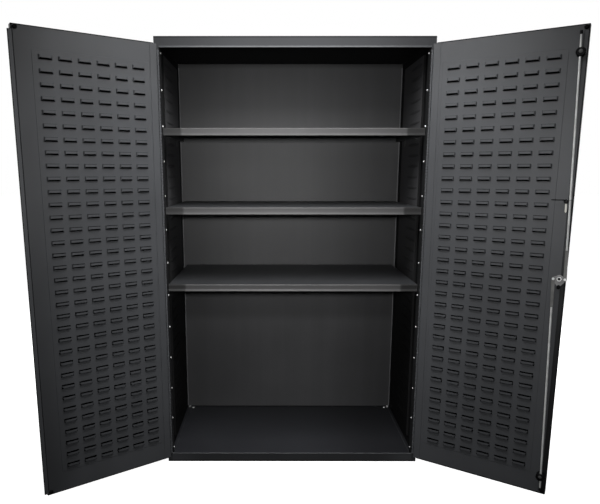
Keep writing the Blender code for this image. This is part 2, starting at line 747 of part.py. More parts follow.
def build_guides(build, door):
    """Round black guides that the lock rods slide through."""
    front = ROD_CENTRE + ROD_RADIUS + ROD_PLAY + GUIDE_WALL
    slot_half = ROD_RADIUS + ROD_SWAY * CRANK_RADIUS + ROD_PLAY
    profile = [
        (0, front),
        (GUIDE_RADIUS - GUIDE_ROUNDING, front),
        (GUIDE_RADIUS, front - GUIDE_ROUNDING),
        (GUIDE_RADIUS, GAP),
        (0, GAP),
    ]
    for name, z in (("upper", UPPER_GUIDE_Z), ("lower", LOWER_GUIDE_Z)):
        guide = turned(build, name + "_rod_guide", profile, "plastic", 20, door.point(SPINDLE_U, 0, z), door.carrier)
        low = ROD_CENTRE - ROD_RADIUS - ROD_PLAY
        high = ROD_CENTRE + ROD_RADIUS + ROD_PLAY
        slot = box(
            door.point(SPINDLE_U - slot_half, low, z - 2 * GUIDE_RADIUS),
            door.point(SPINDLE_U + slot_half, high, z + 2 * GUIDE_RADIUS),
        )
        combine(guide, build.cutter(name + "_guide_slot", slot, door.carrier), "DIFFERENCE")


def cam_circles(extra):
    """Circles that the latch cam is stretched round, nose down, made larger by extra."""
    return [
        (-CRANK_RADIUS, 0, LOBE_RADIUS + extra),
        (CRANK_RADIUS, 0, LOBE_RADIUS + extra),
        (0, -NOSE_REACH, NOSE_RADIUS + extra),
        (0, CAM_BACK_REACH, CAM_BACK_RADIUS + extra),
    ]


def build_handle(build, door):
    """Outside lever, latch cam, nose shoe, lock and pivot pins, all turning on the spindle."""
    carrier = build.empty("handle_axis", door.point(SPINDLE_U, 0, SPINDLE_HEIGHT), door.carrier)
    build_lever(build, carrier)

    pin_hole = PIVOT_RADIUS + GAP
    loops = [
        hull_outline(cam_circles(0)),
        square_points(SHANK_SIDE / 2 + GAP),
        circle_points(-CRANK_RADIUS, 0, pin_hole, 12),
        circle_points(CRANK_RADIUS, 0, pin_hole, 12),
    ]
    cam = outline_plate(loops, CAM_SHEET, door_plane(CAM_STANDOFF + CAM_SHEET / 2))
    build.part("latch_cam", cam, "zinc", carrier)

    shoe_outline = hull_outline([(0, -SHOE_START, SHOE_RADIUS), (0, -SHOE_END, SHOE_RADIUS)])
    shoe = outline_plate([shoe_outline], SHOE_FRONT - SHOE_BACK, door_plane((SHOE_FRONT + SHOE_BACK) / 2))
    shoe = build.part("nose_shoe", shoe, "plastic", carrier)
    seat = outline_plate([hull_outline(cam_circles(GAP))], CAM_SHEET + 2 * GAP, door_plane(CAM_STANDOFF + CAM_SHEET / 2))
    combine(shoe, build.cutter("nose_shoe_seat", seat, carrier), "DIFFERENCE")

    nut_loops = [circle_points(0, 0, NUT_RADIUS, 6), circle_points(0, 0, SHANK_SIDE / math.sqrt(2) + 2 * GAP, 16)]
    nut_back = CAM_STANDOFF + CAM_SHEET + GAP
    nut = outline_plate(nut_loops, NUT_HEIGHT, door_plane(nut_back + NUT_HEIGHT / 2))
    build.part("spindle_nut", nut, "zinc", carrier)

    head_back = FLAT_BACK + FLAT_SHEET + GAP
    head_front = head_back + PIVOT_HEAD
    profile = [
        (0, head_front),
        (PIVOT_HEAD_RADIUS, head_front),
        (PIVOT_HEAD_RADIUS, head_back),
        (PIVOT_RADIUS, head_back),
        (PIVOT_RADIUS, CAM_STANDOFF + GAP),
        (0, CAM_STANDOFF + GAP),
    ]
    for name, reach in (("upper", 1), ("lower", -1)):
        place = (-reach * CRANK_RADIUS, 0, 0)
        turned(build, name + "_pivot_pin", profile, "zinc", 12, place, carrier)
    return carrier


def build_lever(build, carrier):
    """Lever with its hub, square shank and lock."""
    circles = [
        (0, 0, LEVER_HUB_RADIUS),
        (LEVER_WAIST_REACH, 0, LEVER_WAIST_RADIUS),
        (LEVER_LENGTH, 0, LEVER_TIP_RADIUS),
    ]
    plate = outline_plate([hull_outline(circles, 20)], LEVER_PLATE, door_plane((LEVER_BACK + LEVER_FRONT) / 2))
    lever = build.part("handle_lever", plate, "plastic", carrier)
    hub = cylinder((0, HUB_BASE, 0), (0, LEVER_BACK - LEVER_PLATE / 2, 0), LEVER_HUB_RADIUS - GAP, 20)
    combine(lever, build.cutter("handle_hub", hub, carrier), "UNION")
    half = SHANK_SIDE / 2
    shank_end = CAM_STANDOFF + CAM_SHEET + NUT_HEIGHT + 2 * GAP
    shank = box((-half, HUB_BASE - SHANK_ROOT, -half), (half, shank_end, half))
    combine(lever, build.cutter("handle_shank", shank, carrier), "UNION")
    bore_floor = LEVER_FRONT + LOCK_DEPTH + GAP
    bore = cylinder((0, LEVER_FRONT - LEVER_PLATE, 0), (0, bore_floor, 0), LOCK_RADIUS + GAP, 20)
    combine(lever, build.cutter("lock_bore", bore, carrier), "DIFFERENCE")

    floor = LEVER_FRONT + LOCK_DEPTH
    inside = PLUG_RADIUS + GAP
    profile = [(inside, floor), (LOCK_RADIUS, floor), (LOCK_RADIUS, LEVER_FRONT), (inside, LEVER_FRONT)]
    turned(build, "lock_cylinder", profile, "zinc", 20, (0, 0, 0), carrier, closed=True)
    plug_axis = build.empty("lock_plug_axis", (0, LEVER_FRONT, 0), carrier)
    plug = turned(
        build,
        "lock_plug",
        [(0, LOCK_DEPTH), (PLUG_RADIUS, LOCK_DEPTH), (PLUG_RADIUS, 0), (0, 0)],
        "brass",
        16,
        (0, 0, 0),
        plug_axis,
    )
    keyway = box(
        (-KEYWAY_WIDTH / 2, -KEYWAY_DEPTH, -KEYWAY_HEIGHT / 2), (KEYWAY_WIDTH / 2, KEYWAY_DEPTH, KEYWAY_HEIGHT / 2)
    )
    combine(plug, build.cutter("keyway", keyway, plug_axis), "DIFFERENCE")


def build_rods(build, handle):
    """Two lock rods, each hanging on a pin of the cam and leaning towards its guide."""
    rods = {
        "upper": (1, UPPER_ROD_LENGTH, UPPER_GUIDE_Z - SPINDLE_HEIGHT),
        "lower": (-1, LOWER_ROD_LENGTH, SPINDLE_HEIGHT - LOWER_GUIDE_Z),
    }
    for name, (way, length, guide_distance) in rods.items():
        lean = (1 + ROD_SWAY) * CRANK_RADIUS / guide_distance
        place = (-way * CRANK_RADIUS, ROD_CENTRE, 0)
        carrier = build.empty(name + "_rod_axis", place, handle, turn=(0, lean, 0))
        circles = [(0, 0, LOBE_RADIUS), (0, way * FLAT_LENGTH, FLAT_END_RADIUS)]
        loops = [hull_outline(circles), circle_points(0, 0, PIVOT_RADIUS + GAP, 12)]
        rod = build.part(name + "_rod", outline_plate(loops, FLAT_SHEET, door_plane(0)), "zinc", carrier)
        rod_end = length - TIP_END - GAP
        bar = cylinder((0, 0, way * (FLAT_LENGTH - FLAT_OVERLAP)), (0, 0, way * rod_end), ROD_RADIUS, ROD_SIDES)
        combine(rod, build.cutter(name + "_rod_bar", bar, carrier), "UNION")

        outer = ROD_RADIUS + GAP + TIP_WALL
        tip = cylinder((0, 0, way * (length - TIP_LENGTH)), (0, 0, way * length), outer, ROD_SIDES)
        tip = build.part(name + "_rod_tip", tip, "plastic", carrier, smooth=True)
        bore = cylinder((0, 0, 0), (0, 0, way * (rod_end + GAP)), ROD_RADIUS + GAP, ROD_SIDES)
        combine(tip, build.cutter(name + "_tip_bore", bore, carrier), "DIFFERENCE")
        if name == "upper":
            build_key(build, carrier)


def build_key(build, carrier):
    """Key on a wire tie round the upper rod."""
    height = KEY_HEIGHT - SPINDLE_HEIGHT
    tie_x = TIE_RADIUS - TIE_WIRE - ROD_RADIUS - GAP
    wire = [(TIE_RADIUS + x, -y) for x, y in circle_points(0, 0, TIE_WIRE, 6)]
    turned(build, "key_tie", wire, "plastic", 20, (tie_x, 0, height), carrier, inward=False, closed=True)
    key_x = tie_x + TIE_RADIUS
    key_z = height - KEY_HOLE_RADIUS + TIE_WIRE + GAP
    bow_z = -KEY_BOW_RADIUS + KEY_HOLE_RADIUS + KEY_SHEET
    blade_end = bow_z - KEY_BLADE_LENGTH + KEY_BLADE_RADIUS
    bow = outline_plate(
        [circle_points(0, bow_z, KEY_BOW_RADIUS, 20), circle_points(0, 0, KEY_HOLE_RADIUS, 12)],
        KEY_SHEET,
        Matrix.Translation((key_x, 0, key_z)) @ door_plane(0),
    )
    key = build.part("key", bow, "brass", carrier)
    blade = hull_outline([(0, bow_z - KEY_BOW_RADIUS, KEY_BLADE_RADIUS), (0, blade_end, KEY_BLADE_RADIUS)], 12)
    blade = outline_plate([blade], KEY_SHEET - GAP, Matrix.Translation((key_x, 0, key_z)) @ door_plane(0))
    combine(key, build.cutter("key_blade", blade, carrier), "UNION")


def main():
    """Build the whole cabinet with its doors open and its lock drawn back."""
    clear_scene()
    build = Builder()
    build_case(build)
    build_shelves(build)
    build_left_door(build)
    right_door = build_right_door(build)
    handle = build_handle(build, right_door)
    build_rods(build, handle)
    bpy.context.view_layer.update()


main()
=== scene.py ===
"""Looks of a locking shelf cabinet with louvered doors, built round its CAD frame."""

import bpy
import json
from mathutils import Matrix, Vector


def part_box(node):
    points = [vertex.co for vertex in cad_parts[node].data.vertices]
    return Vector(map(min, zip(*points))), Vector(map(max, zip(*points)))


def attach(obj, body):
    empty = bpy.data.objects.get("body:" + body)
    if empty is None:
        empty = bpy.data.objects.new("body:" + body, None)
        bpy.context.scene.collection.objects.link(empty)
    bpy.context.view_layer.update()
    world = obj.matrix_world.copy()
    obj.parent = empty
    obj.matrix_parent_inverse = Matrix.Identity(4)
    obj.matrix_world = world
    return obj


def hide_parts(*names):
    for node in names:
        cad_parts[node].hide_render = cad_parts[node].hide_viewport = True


bl_info = {
    "name": "Locking shelf cabinet",
    "version": (1, 0, 0),
    "blender": (4, 5, 0),
    "location": "View3D > Sidebar > Cabinet",
    "description": "Builds the looks of a steel cabinet with louvered doors and a rod lock",
    "category": "Object",
}

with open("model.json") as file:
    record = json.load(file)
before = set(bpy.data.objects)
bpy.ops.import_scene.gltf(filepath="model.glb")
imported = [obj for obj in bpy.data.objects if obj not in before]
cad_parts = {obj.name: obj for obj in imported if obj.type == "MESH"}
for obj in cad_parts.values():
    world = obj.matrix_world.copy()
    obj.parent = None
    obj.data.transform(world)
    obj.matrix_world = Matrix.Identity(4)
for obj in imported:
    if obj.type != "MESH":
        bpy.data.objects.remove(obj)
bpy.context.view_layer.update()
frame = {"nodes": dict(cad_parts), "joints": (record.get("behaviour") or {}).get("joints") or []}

import json
import math

import bmesh
import bpy
from mathutils import Matrix, Vector


def corners(points):
    """Lowest and highest corner of the box round some points."""
    points = list(points)
    low = Vector(min(point[i] for point in points) for i in range(3))
    high = Vector(max(point[i] for point in points) for i in range(3))
    return low, high


NODES = frame["nodes"]
OUTER_SHEETS = ("left_side", "right_side", "top_panel")
CASE_BOX = corners(corner for node in OUTER_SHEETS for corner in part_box(node))
HALF_WIDTH = CASE_BOX[1].x
SIDES = (("left", -1), ("right", 1))
SHEET_THICKNESS = 0.0015
# Black that each fade of painted shade mixes in.
SHADE_BLACK = (0.0, 0.0, 0.0, 1.0)
DUST = (0.30, 0.30, 0.31, 1.0)
OUT_OF_DOOR = Matrix.Rotation(math.radians(-90), 4, "X")


# Settings


def length_setting(name, description, default):
    """A length that a user can change."""
    return bpy.props.FloatProperty(name=name, description=description, default=default, unit="LENGTH")


def count_setting(name, description, default):
    """A number of like pieces."""
    return bpy.props.IntProperty(name=name, description=description, default=default, min=1)


def number_setting(name, description, default, **limits):
    """A plain number, such as a share of another size."""
    return bpy.props.FloatProperty(name=name, description=description, default=default, **limits)


def angle_setting(name, description, degrees):
    """An angle, with its default in degrees."""
    default = math.radians(degrees)
    return bpy.props.FloatProperty(name=name, description=description, default=default, subtype="ANGLE")


def power_setting(name, description, default):
    """Power of a lamp, in watts."""
    return bpy.props.FloatProperty(name=name, description=description, default=default, unit="POWER")


def colour_setting(name, description, default):
    """A colour of paint."""
    return bpy.props.FloatVectorProperty(
        name=name, description=description, default=default, size=3, subtype="COLOR", min=0, max=1
    )


class LouverSettings(bpy.types.PropertyGroup):
    """Sizes of the louvers pressed into the door liners."""

    length: length_setting("Length", "Length of one louver", 0.053)
    height: length_setting("Height", "Height of one louver", 0.016)
    depth: length_setting("Depth", "How far a louver stands out of its sheet", 0.0083)
    end_round: length_setting("End rounding", "Run of the rounded ends", 0.0065)
    foot_round: length_setting("Foot rounding", "Run of the rounded lower edge", 0.0052)
    lip: length_setting("Lip", "Sheet thickness seen along the open top", 0.0009)
    # End share, foot share and brow set the folds of each louver that carry painted light and shade.
    end_share: number_setting("End share", "Run of the shaded free end, in end roundings", 0.2, min=0)
    foot_share: number_setting("Foot share", "Height of the shaded foot, in foot roundings", 1.2, min=1)
    brow: length_setting("Brow", "Height of the shaded strip along the open top", 0.0020)
    slit: length_setting("Slit", "Height of the slit over a louver", 0.0014)
    columns: count_setting("Columns", "Louvers across a door", 6)
    rows: count_setting("Rows", "Louvers up a door", 34)
    left_pitch: length_setting("Left column pitch", "Distance between columns, left door", 0.0746)
    right_pitch: length_setting("Right column pitch", "Distance between columns, right door", 0.0757)
    row_pitch: length_setting("Row pitch", "Distance between rows", 0.0516)
    left_margin: length_setting("Left margin", "From hinge axis to first column, left door", 0.0618)
    right_margin: length_setting("Right margin", "From hinge axis to first column, right door", 0.0675)
    top_margin: length_setting("Top margin", "From the top of the door to the first row", 0.103)
    field_step: length_setting("Field step", "How far the louvered field stands proud", 0.0009)
    field_side: length_setting("Field side margin", "From the outer louvers to the field's sides", 0.0215)
    field_end: length_setting("Field end margin", "From the outer louvers to the field's ends", 0.0165)


class HingeSettings(bpy.types.PropertyGroup):
    """Sizes of the two full-height hinges."""

    knuckle_pitch: length_setting("Knuckle pitch", "Length of one knuckle with its gap", 0.0127)
    knuckle_gap: length_setting("Knuckle gap", "Gap between knuckles", 0.0016)
    knuckle_radius: length_setting("Knuckle radius", "Outer radius of a knuckle", 0.0042)
    rivets: count_setting("Rivets", "Rivets in one leaf", 13)
    rivet_pitch: length_setting("Rivet pitch", "Distance between rivets", 0.15453)
    rivet_radius: length_setting("Rivet radius", "Radius of a rivet head", 0.0046)
    rivet_top: length_setting("Top rivet", "Height of the uppermost rivet", 1.9165)
    rivet_setback: length_setting("Rivet setback", "From the front of the case to the rivets", 0.0293)


class PaintSettings(bpy.types.PropertyGroup):
    """Colour and gloss of the powder coat."""

    door: colour_setting("Door colour", "Coat on the doors and the case's outside", (0.050, 0.052, 0.056))
    inside: colour_setting("Inside colour", "Coat inside the case", (0.046, 0.046, 0.048))
    shelf: colour_setting("Shelf colour", "Coat on the shelves", (0.061, 0.060, 0.061))
    floor: colour_setting("Floor colour", "Coat on the floor of the case", (0.028, 0.029, 0.034))
    roughness: number_setting("Roughness", "Roughness of the satin coat", 0.46, min=0, max=1)


class StageSettings(bpy.types.PropertyGroup):
    """Camera and lights."""

    focal_length: number_setting("Focal length", "Focal length on a 36 mm sensor", 32.305)
    shift_x: number_setting("Shift X", "Sideways lens shift", 0.0477)
    shift_y: number_setting("Shift Y", "Upward lens shift", 0.0285)
    position: bpy.props.FloatVectorProperty(
        name="Camera position", description="Where the camera stands",
        default=(-0.09708, -2.75546, 1.40523), size=3, subtype="TRANSLATION",
    )
    pitch: angle_setting("Pitch", "Downward tilt of the camera", 10.192)
    yaw: angle_setting("Yaw", "Turn of the camera to the left", 0.107)
    key_power: power_setting("Key power", "Overhead softbox", 20.7)
    fill_power: power_setting("Fill power", "Front softbox", 8.2)
    rear_power: power_setting("Rear power", "Softbox behind", 60.0)
    side_power: power_setting("Side power", "Each softbox at the sides", 50.0)


class CabinetSettings(bpy.types.PropertyGroup):
    """All settings of the cabinet."""

    louver: bpy.props.PointerProperty(type=LouverSettings)
    hinge: bpy.props.PointerProperty(type=HingeSettings)
    paint: bpy.props.PointerProperty(type=PaintSettings)
    stage: bpy.props.PointerProperty(type=StageSettings)


def settings():
    """Settings of the open scene."""
    return bpy.context.scene.cabinet


# Shader building


def feed(tree, target, value):
    """Link a socket to an input, or set the input to a constant."""
    if isinstance(value, Sock):
        tree.links.new(value.socket, target)
    else:
        target.default_value = value


class Sock:
    """An output of a shader tree. Sums, differences and products add the nodes that they need."""

    def __init__(self, tree, socket):
        self.tree = tree
        self.socket = socket

    def maths(self, operation, *values):
        """Add a Math node."""
        node = self.tree.nodes.new("ShaderNodeMath")
        node.operation = operation
        for target, value in zip(node.inputs, values):
            feed(self.tree, target, value)
        return Sock(self.tree, node.outputs[0])

    def __add__(self, other):
        return self.maths("ADD", self, other)

    def __sub__(self, other):
        return self.maths("SUBTRACT", self, other)

    def __rsub__(self, other):
        return self.maths("SUBTRACT", other, self)

    def __mul__(self, other):
        return self.maths("MULTIPLY", self, other)

    __radd__ = __add__
    __rmul__ = __mul__

    def between(self, low, high, start=0.0, end=1.0):
        """Map low..high smoothly to start..end."""
        node = self.tree.nodes.new("ShaderNodeMapRange")
        node.interpolation_type = "SMOOTHSTEP"
        for name, value in (("From Min", low), ("From Max", high), ("To Min", start), ("To Max", end)):
            node.inputs[name].default_value = value
        self.tree.links.new(self.socket, node.inputs["Value"])
        return Sock(self.tree, node.outputs["Result"])


def mix_colours(tree, factor, first, second):
    """Add a Mix node for colours. Its colour sockets come after those for numbers and vectors."""
    node = tree.nodes.new("ShaderNodeMix")
    node.data_type = "RGBA"
    for index, value in ((0, factor), (6, first), (7, second)):
        feed(tree, node.inputs[index], value)
    return Sock(tree, node.outputs[2])


class Look:
    """A material with one Principled shader."""

    def __init__(self, name, metallic=0.0, specular=0.5):
        self.material = bpy.data.materials.new(name)
        self.material.use_nodes = True
        self.tree = self.material.node_tree
        self.shader = self.tree.nodes["Principled BSDF"]
        self.shader.inputs["Metallic"].default_value = metallic
        self.shader.inputs["Specular IOR Level"].default_value = specular
        self.position = self.node("ShaderNodeTexCoord", "Object")

    def node(self, kind, output=0, inputs=None, **options):
        """Add any node, set its options and inputs, and return one of its outputs."""
        node = self.tree.nodes.new(kind)
        for name, value in options.items():
            setattr(node, name, value)
        for name, value in (inputs or {}).items():
            feed(self.tree, node.inputs[name], value)
        return Sock(self.tree, node.outputs[output])

    def axis(self, letter):
        """One coordinate of the object's own space."""
        return self.node("ShaderNodeSeparateXYZ", letter, {"Vector": self.position})

    def noise(self, scale, detail=3.0, stretch=(1.0, 1.0, 1.0), roughness=0.55):
        """Noise from 0 to 1, with its features drawn out by stretch."""
        factors = {0: self.position, 1: stretch}
        place = self.node("ShaderNodeVectorMath", 0, factors, operation="MULTIPLY")
        inputs = {"Vector": place, "Scale": scale, "Detail": detail, "Roughness": roughness}
        return self.node("ShaderNodeTexNoise", "Fac", inputs)

    def mix(self, factor, first, second):
        """Mix two colours."""
        return mix_colours(self.tree, factor, first, second)

    def put(self, **inputs):
        """Feed inputs of the shader; an underscore stands for a space."""
        for name, value in inputs.items():
            feed(self.tree, self.shader.inputs[name.replace("_", " ")], value)

    def bump(self, height, strength, distance):
        """Feed a bump map to the shader's normal."""
        inputs = {"Height": height, "Strength": strength, "Distance": distance}
        self.put(Normal=self.node("ShaderNodeBump", "Normal", inputs))


def shade(colour, factor):
    """A colour made lighter or darker, with its alpha."""
    return tuple(c * factor for c in colour) + (1.0,)


def grey(level):
    """A grey, with its alpha."""
    return shade((1.0, 1.0, 1.0), level)


# Finishes


def powder_coat(name, colour, roughness, streaks=0.0, dust=0.0, fades=(), specular=0.42):
    """Satin powder coat: fine orange peel, soft tone changes, a few lighter runs of painted sheen and a
    little dust.

    Each fade is painted shade: an axis, two places along it, and how much of the tone is left at each, the
    rest darkened towards black.
    An axis with an upright stroke runs both ways from the middle.
    """
    look = Look(name, specular=specular)
    tone = look.noise(scale=2.6, detail=4.0)
    peel = look.noise(scale=750.0, detail=2.0)
    wave = look.noise(scale=60.0, detail=3.0)
    base = look.mix(tone.between(0.25, 0.75), shade(colour, 0.90), shade(colour, 1.10))
    if streaks:
        # Painted sheen: lighter runs drawn out upright.
        run = look.noise(scale=14.0, detail=3.0, stretch=(1.0, 1.0, 0.02))
        base = look.mix(run.between(0.35, 0.75, 0.0, streaks), base, shade(colour, 1.9))
    if dust:
        specks = look.noise(scale=160.0, detail=4.0, roughness=0.7).between(0.66, 0.80)
        cloud = look.noise(scale=5.0, detail=4.0).between(0.45, 0.75)
        base = look.mix(specks * cloud * dust, base, DUST)
    # Painted shade: each fade darkens the coat towards black along one axis.
    for letter, first, second, before, after in fades:
        place = look.axis(letter[-1])
        if letter[0] == "|":
            place = place.maths("ABSOLUTE", place)
        unshaded_share = place.between(first, second, before, after)
        base = look.mix(1.0 - unshaded_share, base, SHADE_BLACK)
    gloss = tone * 0.10 + wave * 0.06 + (roughness - 0.08)
    look.put(Base_Color=base, Roughness=gloss)
    look.bump(peel * 0.6 + wave * 0.4, strength=0.12, distance=0.0006)
    return look.material


def plated_steel(name, colour, roughness, along=(1.0, 1.0, 1.0), metallic=0.45):
    """Dull zinc plated steel with drawing lines, a slight tarnish and rubbed spots."""
    look = Look(name, metallic=metallic)
    lines = look.noise(scale=420.0, detail=2.0, stretch=along)
    tarnish = look.noise(scale=22.0, detail=5.0)
    rubbed = look.noise(scale=7.0, detail=3.0).between(0.55, 0.8)
    base = look.mix(tarnish.between(0.35, 0.8), shade(colour, 1.0), shade(colour, 0.62))
    base = look.mix(rubbed * 0.4, base, shade(colour, 1.15))
    look.put(Base_Color=base, Roughness=lines * 0.16 + tarnish * 0.14 + (roughness - 0.15))
    look.bump(lines, strength=0.15, distance=0.0002)
    return look.material


def moulded(name, colour, roughness, grain=600.0):
    """Moulded black plastic or rubber with a fine grain and worn sheen."""
    look = Look(name, specular=0.08)
    fine = look.noise(scale=grain, detail=2.0)
    wear = look.noise(scale=35.0, detail=4.0)
    look.put(
        Base_Color=look.mix(wear.between(0.5, 0.8), shade(colour, 1.0), shade(colour, 1.8)),
        Roughness=wear * 0.2 + (roughness - 0.1),
    )
    look.bump(fine, strength=0.2, distance=0.0003)
    return look.material


class Finishes:
    """Makes each material once, when it is first asked for."""

    def __init__(self):
        self.made = {}

    def __call__(self, name):
        if name not in self.made:
            self.made[name] = getattr(self, name)()
        return self.made[name]

    def coat(self, name, colour, factor=1.0, rougher=0.0, **options):
        """Powder coat with a colour and a gloss from the settings."""
        paint = settings().paint
        tone = Vector(getattr(paint, colour)) * factor
        return powder_coat(name, tone, paint.roughness + rougher, **options)

    def door_paint(self):
        # Painted shade: darker towards the top of the doors and towards the left door's free edge.
        fades = [("Z", 1.76, 1.89, 1.0, 0.82), ("X", -1.06, -0.94, 0.67, 1.0)]
        return self.coat("door_powder_and_shade", "door", factor=1.08, dust=0.03, fades=fades)

    def edge_paint_and_shade(self):
        # Painted shade: the right door's flange darkens towards the bottom.
        fades = [("Z", 0.95, 1.30, 0.16, 1.0)]
        return self.coat("edge_powder_and_shade", "door", rougher=0.05, fades=fades)

    def bend_shade_paint(self):
        # Painted shade: a dark coat on the folds of the doors, under the astragal strip and along its outer
        # edge.
        return self.coat("bend_shade_powder", "door", factor=0.16, rougher=0.20, specular=0.15)

    def strip_paint(self):
        return self.coat("strip_powder_coat", "door", dust=0.03)

    def fold_light_and_shade_coat(self, name, factor, rougher=0.20, fades=()):
        """Coat of painted light and shade in the folds of the louvers, with hardly a gloss."""
        return self.coat(name, "door", factor, rougher, fades=fades, specular=0.05)

    def foot_light_and_shade_paint(self):
        # Painted shade at the feet of the upper louvers, painted light at those of the lower ones.
        return self.fold_light_and_shade_coat("foot_light_and_shade_powder", factor=1.3, fades=[("Z", 0.50, 1.00, 1.0, 0.02)])

    def end_light_and_shade_paint(self):
        # Painted shade on the ends and upper edges of the lower louvers, painted highlight on those of the
        # upper ones.
        return self.fold_light_and_shade_coat("end_light_and_shade_powder", factor=1.5, fades=[("Z", 0.65, 1.30, 0.03, 1.0)])

    def crease_shade_paint(self):
        # Painted shade: near black, inside the louvers and inside the door walls.
        return self.fold_light_and_shade_coat("crease_shade_powder", factor=0.03, rougher=0.30)

    def case_paint(self):
        # Painted shade: darker along the top of the case's front and near the floor.
        fades = [("Z", 1.9725, 1.9765, 1.0, 0.30), ("Z", 0.004, 0.011, 0.15, 1.0)]
        options = {"dust": 0.03, "fades": fades, "specular": 0.2}
        return self.coat("case_powder_and_shade", "door", factor=0.62, rougher=0.10, **options)

    def well_paint(self):
        # Painted shade: a dark coat inside the outer sheets, on the front edges of the wall strips and in
        # the floor's rear joint.
        return self.coat("recess_shade_powder", "inside", factor=0.22, rougher=0.20, specular=0.1)

    def sill_paint(self):
        # Painted shade: darker near the floor and towards the middle of the sill.
        fades = [("Z", 0.004, 0.011, 0.15, 1.0), ("|X", 0.42, 0.58, 0.6, 1.0)]
        return self.coat("sill_powder_and_shade", "door", factor=0.75, dust=0.03, fades=fades)

    def side_paint(self):
        return self.coat("side_powder_coat", "door", factor=0.9, dust=0.03)

    def hem_paint(self):
        # Painted highlight: a lighter, glossier coat than the header's and the sill's.
        return self.coat("hem_highlight_powder", "door", factor=1.15, rougher=-0.04)

    def leaf_paint(self):
        return self.coat("leaf_powder_coat", "door", factor=0.20, rougher=0.10)

    def inside_paint_and_shade(self):
        # Painted shade: darker from just under the lower shelf upwards, darker again below the top
        # compartment, dark along the very top and darker towards the sides.
        fades = [("Z", 0.535, 0.605, 1.0, 0.64), ("Z", 1.45, 1.60, 0.70, 1.0)]
        fades += [("Z", 1.950, 1.980, 1.0, 0.25), ("|X", 0.10, 0.60, 1.0, 0.68)]
        options = {"streaks": 0.14, "dust": 0.04, "fades": fades}
        return self.coat("inside_powder_and_shade", "inside", factor=2.25, **options)

    def seam_paint(self):
        # Painted highlight: a pale coat on the flanges in the rear corners.
        return self.coat("seam_highlight_powder", "inside", factor=3.0, streaks=0.10)

    def wall_shade_coat(self, name, factor):
        """Coat of the side walls, with painted shade that darkens it towards the floor."""
        fades = [("Z", 0.5, 1.4, 0.05, 1.0)]
        return self.coat(name, "inside", factor, rougher=0.15, dust=0.04, fades=fades, specular=0.12)

    def wall_paint(self):
        return self.wall_shade_coat("wall_powder_and_shade", factor=1.8)

    def rib_paint(self):
        # Painted shade: the ribs a little darker than the walls.
        return self.wall_shade_coat("rib_shade_powder", factor=1.25)

    def shelf_shade_coat(self, name, factor):
        """Coat of the shelf lips, with painted shade at the ends and lighter runs of painted sheen."""
        fades = [("|X", 0.500, 0.512, 1.0, 0.26)]
        return self.coat(name, "shelf", factor, rougher=-0.02, streaks=0.06, dust=0.05, fades=fades)

    def shelf_paint(self):
        return self.shelf_shade_coat("shelf_powder_and_shade", factor=0.85)

    def lip_highlight_and_shade_paint(self):
        return self.shelf_shade_coat("lip_highlight_and_shade_powder", factor=1.2)
    # Painted highlight: a lighter coat on the bends of the lips.

    def knuckle_paint(self):
        return self.coat("knuckle_powder_coat", "door", factor=1.3, rougher=-0.05)

    def tray_paint(self):
        return self.coat("tray_powder_coat", "door", factor=0.65, dust=0.05)

    def floor_paint(self):
        # Painted shade: the floor of the case darker towards the right-hand side.
        fades = [("X", 0.05, 0.50, 1.0, 0.55)]
        return self.coat("floor_powder_and_shade", "floor", factor=0.80, rougher=0.02, dust=0.16, fades=fades)

    def rod_steel(self):
        drawn = (1.0, 1.0, 0.03)
        return plated_steel("rod_zinc", (0.74, 0.75, 0.74), roughness=0.42, along=drawn, metallic=0.25)

    def flat_steel(self):
        return plated_steel("flat_zinc", (0.17, 0.17, 0.165), roughness=0.50)

    def plate_steel(self):
        return plated_steel("plate_zinc", (0.25, 0.25, 0.25), roughness=0.50)

    def clip_steel(self):
        return plated_steel("clip_zinc", (0.07, 0.07, 0.07), roughness=0.60, metallic=0.0)

    def rivet_steel(self):
        return plated_steel("rivet_metal", (0.95, 0.95, 0.95), roughness=0.40, metallic=0.05)

    def black_plastic(self):
        return moulded("black_moulding", (0.004, 0.004, 0.0045), roughness=0.55)

    def key_cover(self):
        return moulded("key_cover", (0.010, 0.010, 0.010), roughness=0.55)

    def rubber(self):
        return moulded("black_rubber", (0.006, 0.006, 0.006), roughness=0.75, grain=350.0)

    def nickel(self):
        return plated_steel("key_metal", (0.46, 0.45, 0.41), roughness=0.42)

    def brass(self):
        return plated_steel("lock_brass", (0.50, 0.42, 0.26), roughness=0.38)


FINISH = Finishes()


# Mesh building


def bake(obj):
    """Turn an object's modifiers into plain mesh."""
    graph = bpy.context.evaluated_depsgraph_get()
    mesh = bpy.data.meshes.new_from_object(obj.evaluated_get(graph))
    obj.modifiers.clear()
    old = obj.data
    obj.data = mesh
    bpy.data.meshes.remove(old)


def scratch_object(name, bm):
    """Link a bmesh to the scene as an object."""
    mesh = bpy.data.meshes.new(name)
    bm.to_mesh(mesh)
    bm.free()
    obj = bpy.data.objects.new(name, mesh)
    bpy.context.scene.collection.objects.link(obj)
    return obj


def weighted_normals(obj, keep_sharp):
    """Let large faces rule the shading of their edges."""
    normals = obj.modifiers.new("normals", "WEIGHTED_NORMAL")
    normals.weight = 100
    normals.keep_sharp = keep_sharp


def piece(obj, finish, body, nodes=(), angle=35.0):
    """Finish a visual piece: its material, its shading, the body it rides on and what it stands for.

    finish is one name, or a list of names for the material indices of the faces.
    """
    names = [finish] if isinstance(finish, str) else finish
    last = len(names) - 1
    indices = [min(face.material_index, last) for face in obj.data.polygons]
    obj.data.materials.clear()
    for name in names:
        obj.data.materials.append(FINISH(name))
    obj.data.polygons.foreach_set("material_index", indices)
    if angle:
        obj.data.shade_smooth()
        obj.data.set_sharp_from_angle(angle=math.radians(angle))
        weighted_normals(obj, keep_sharp=True)
        bake(obj)
    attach(obj, body)
    if nodes:
        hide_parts(*nodes)


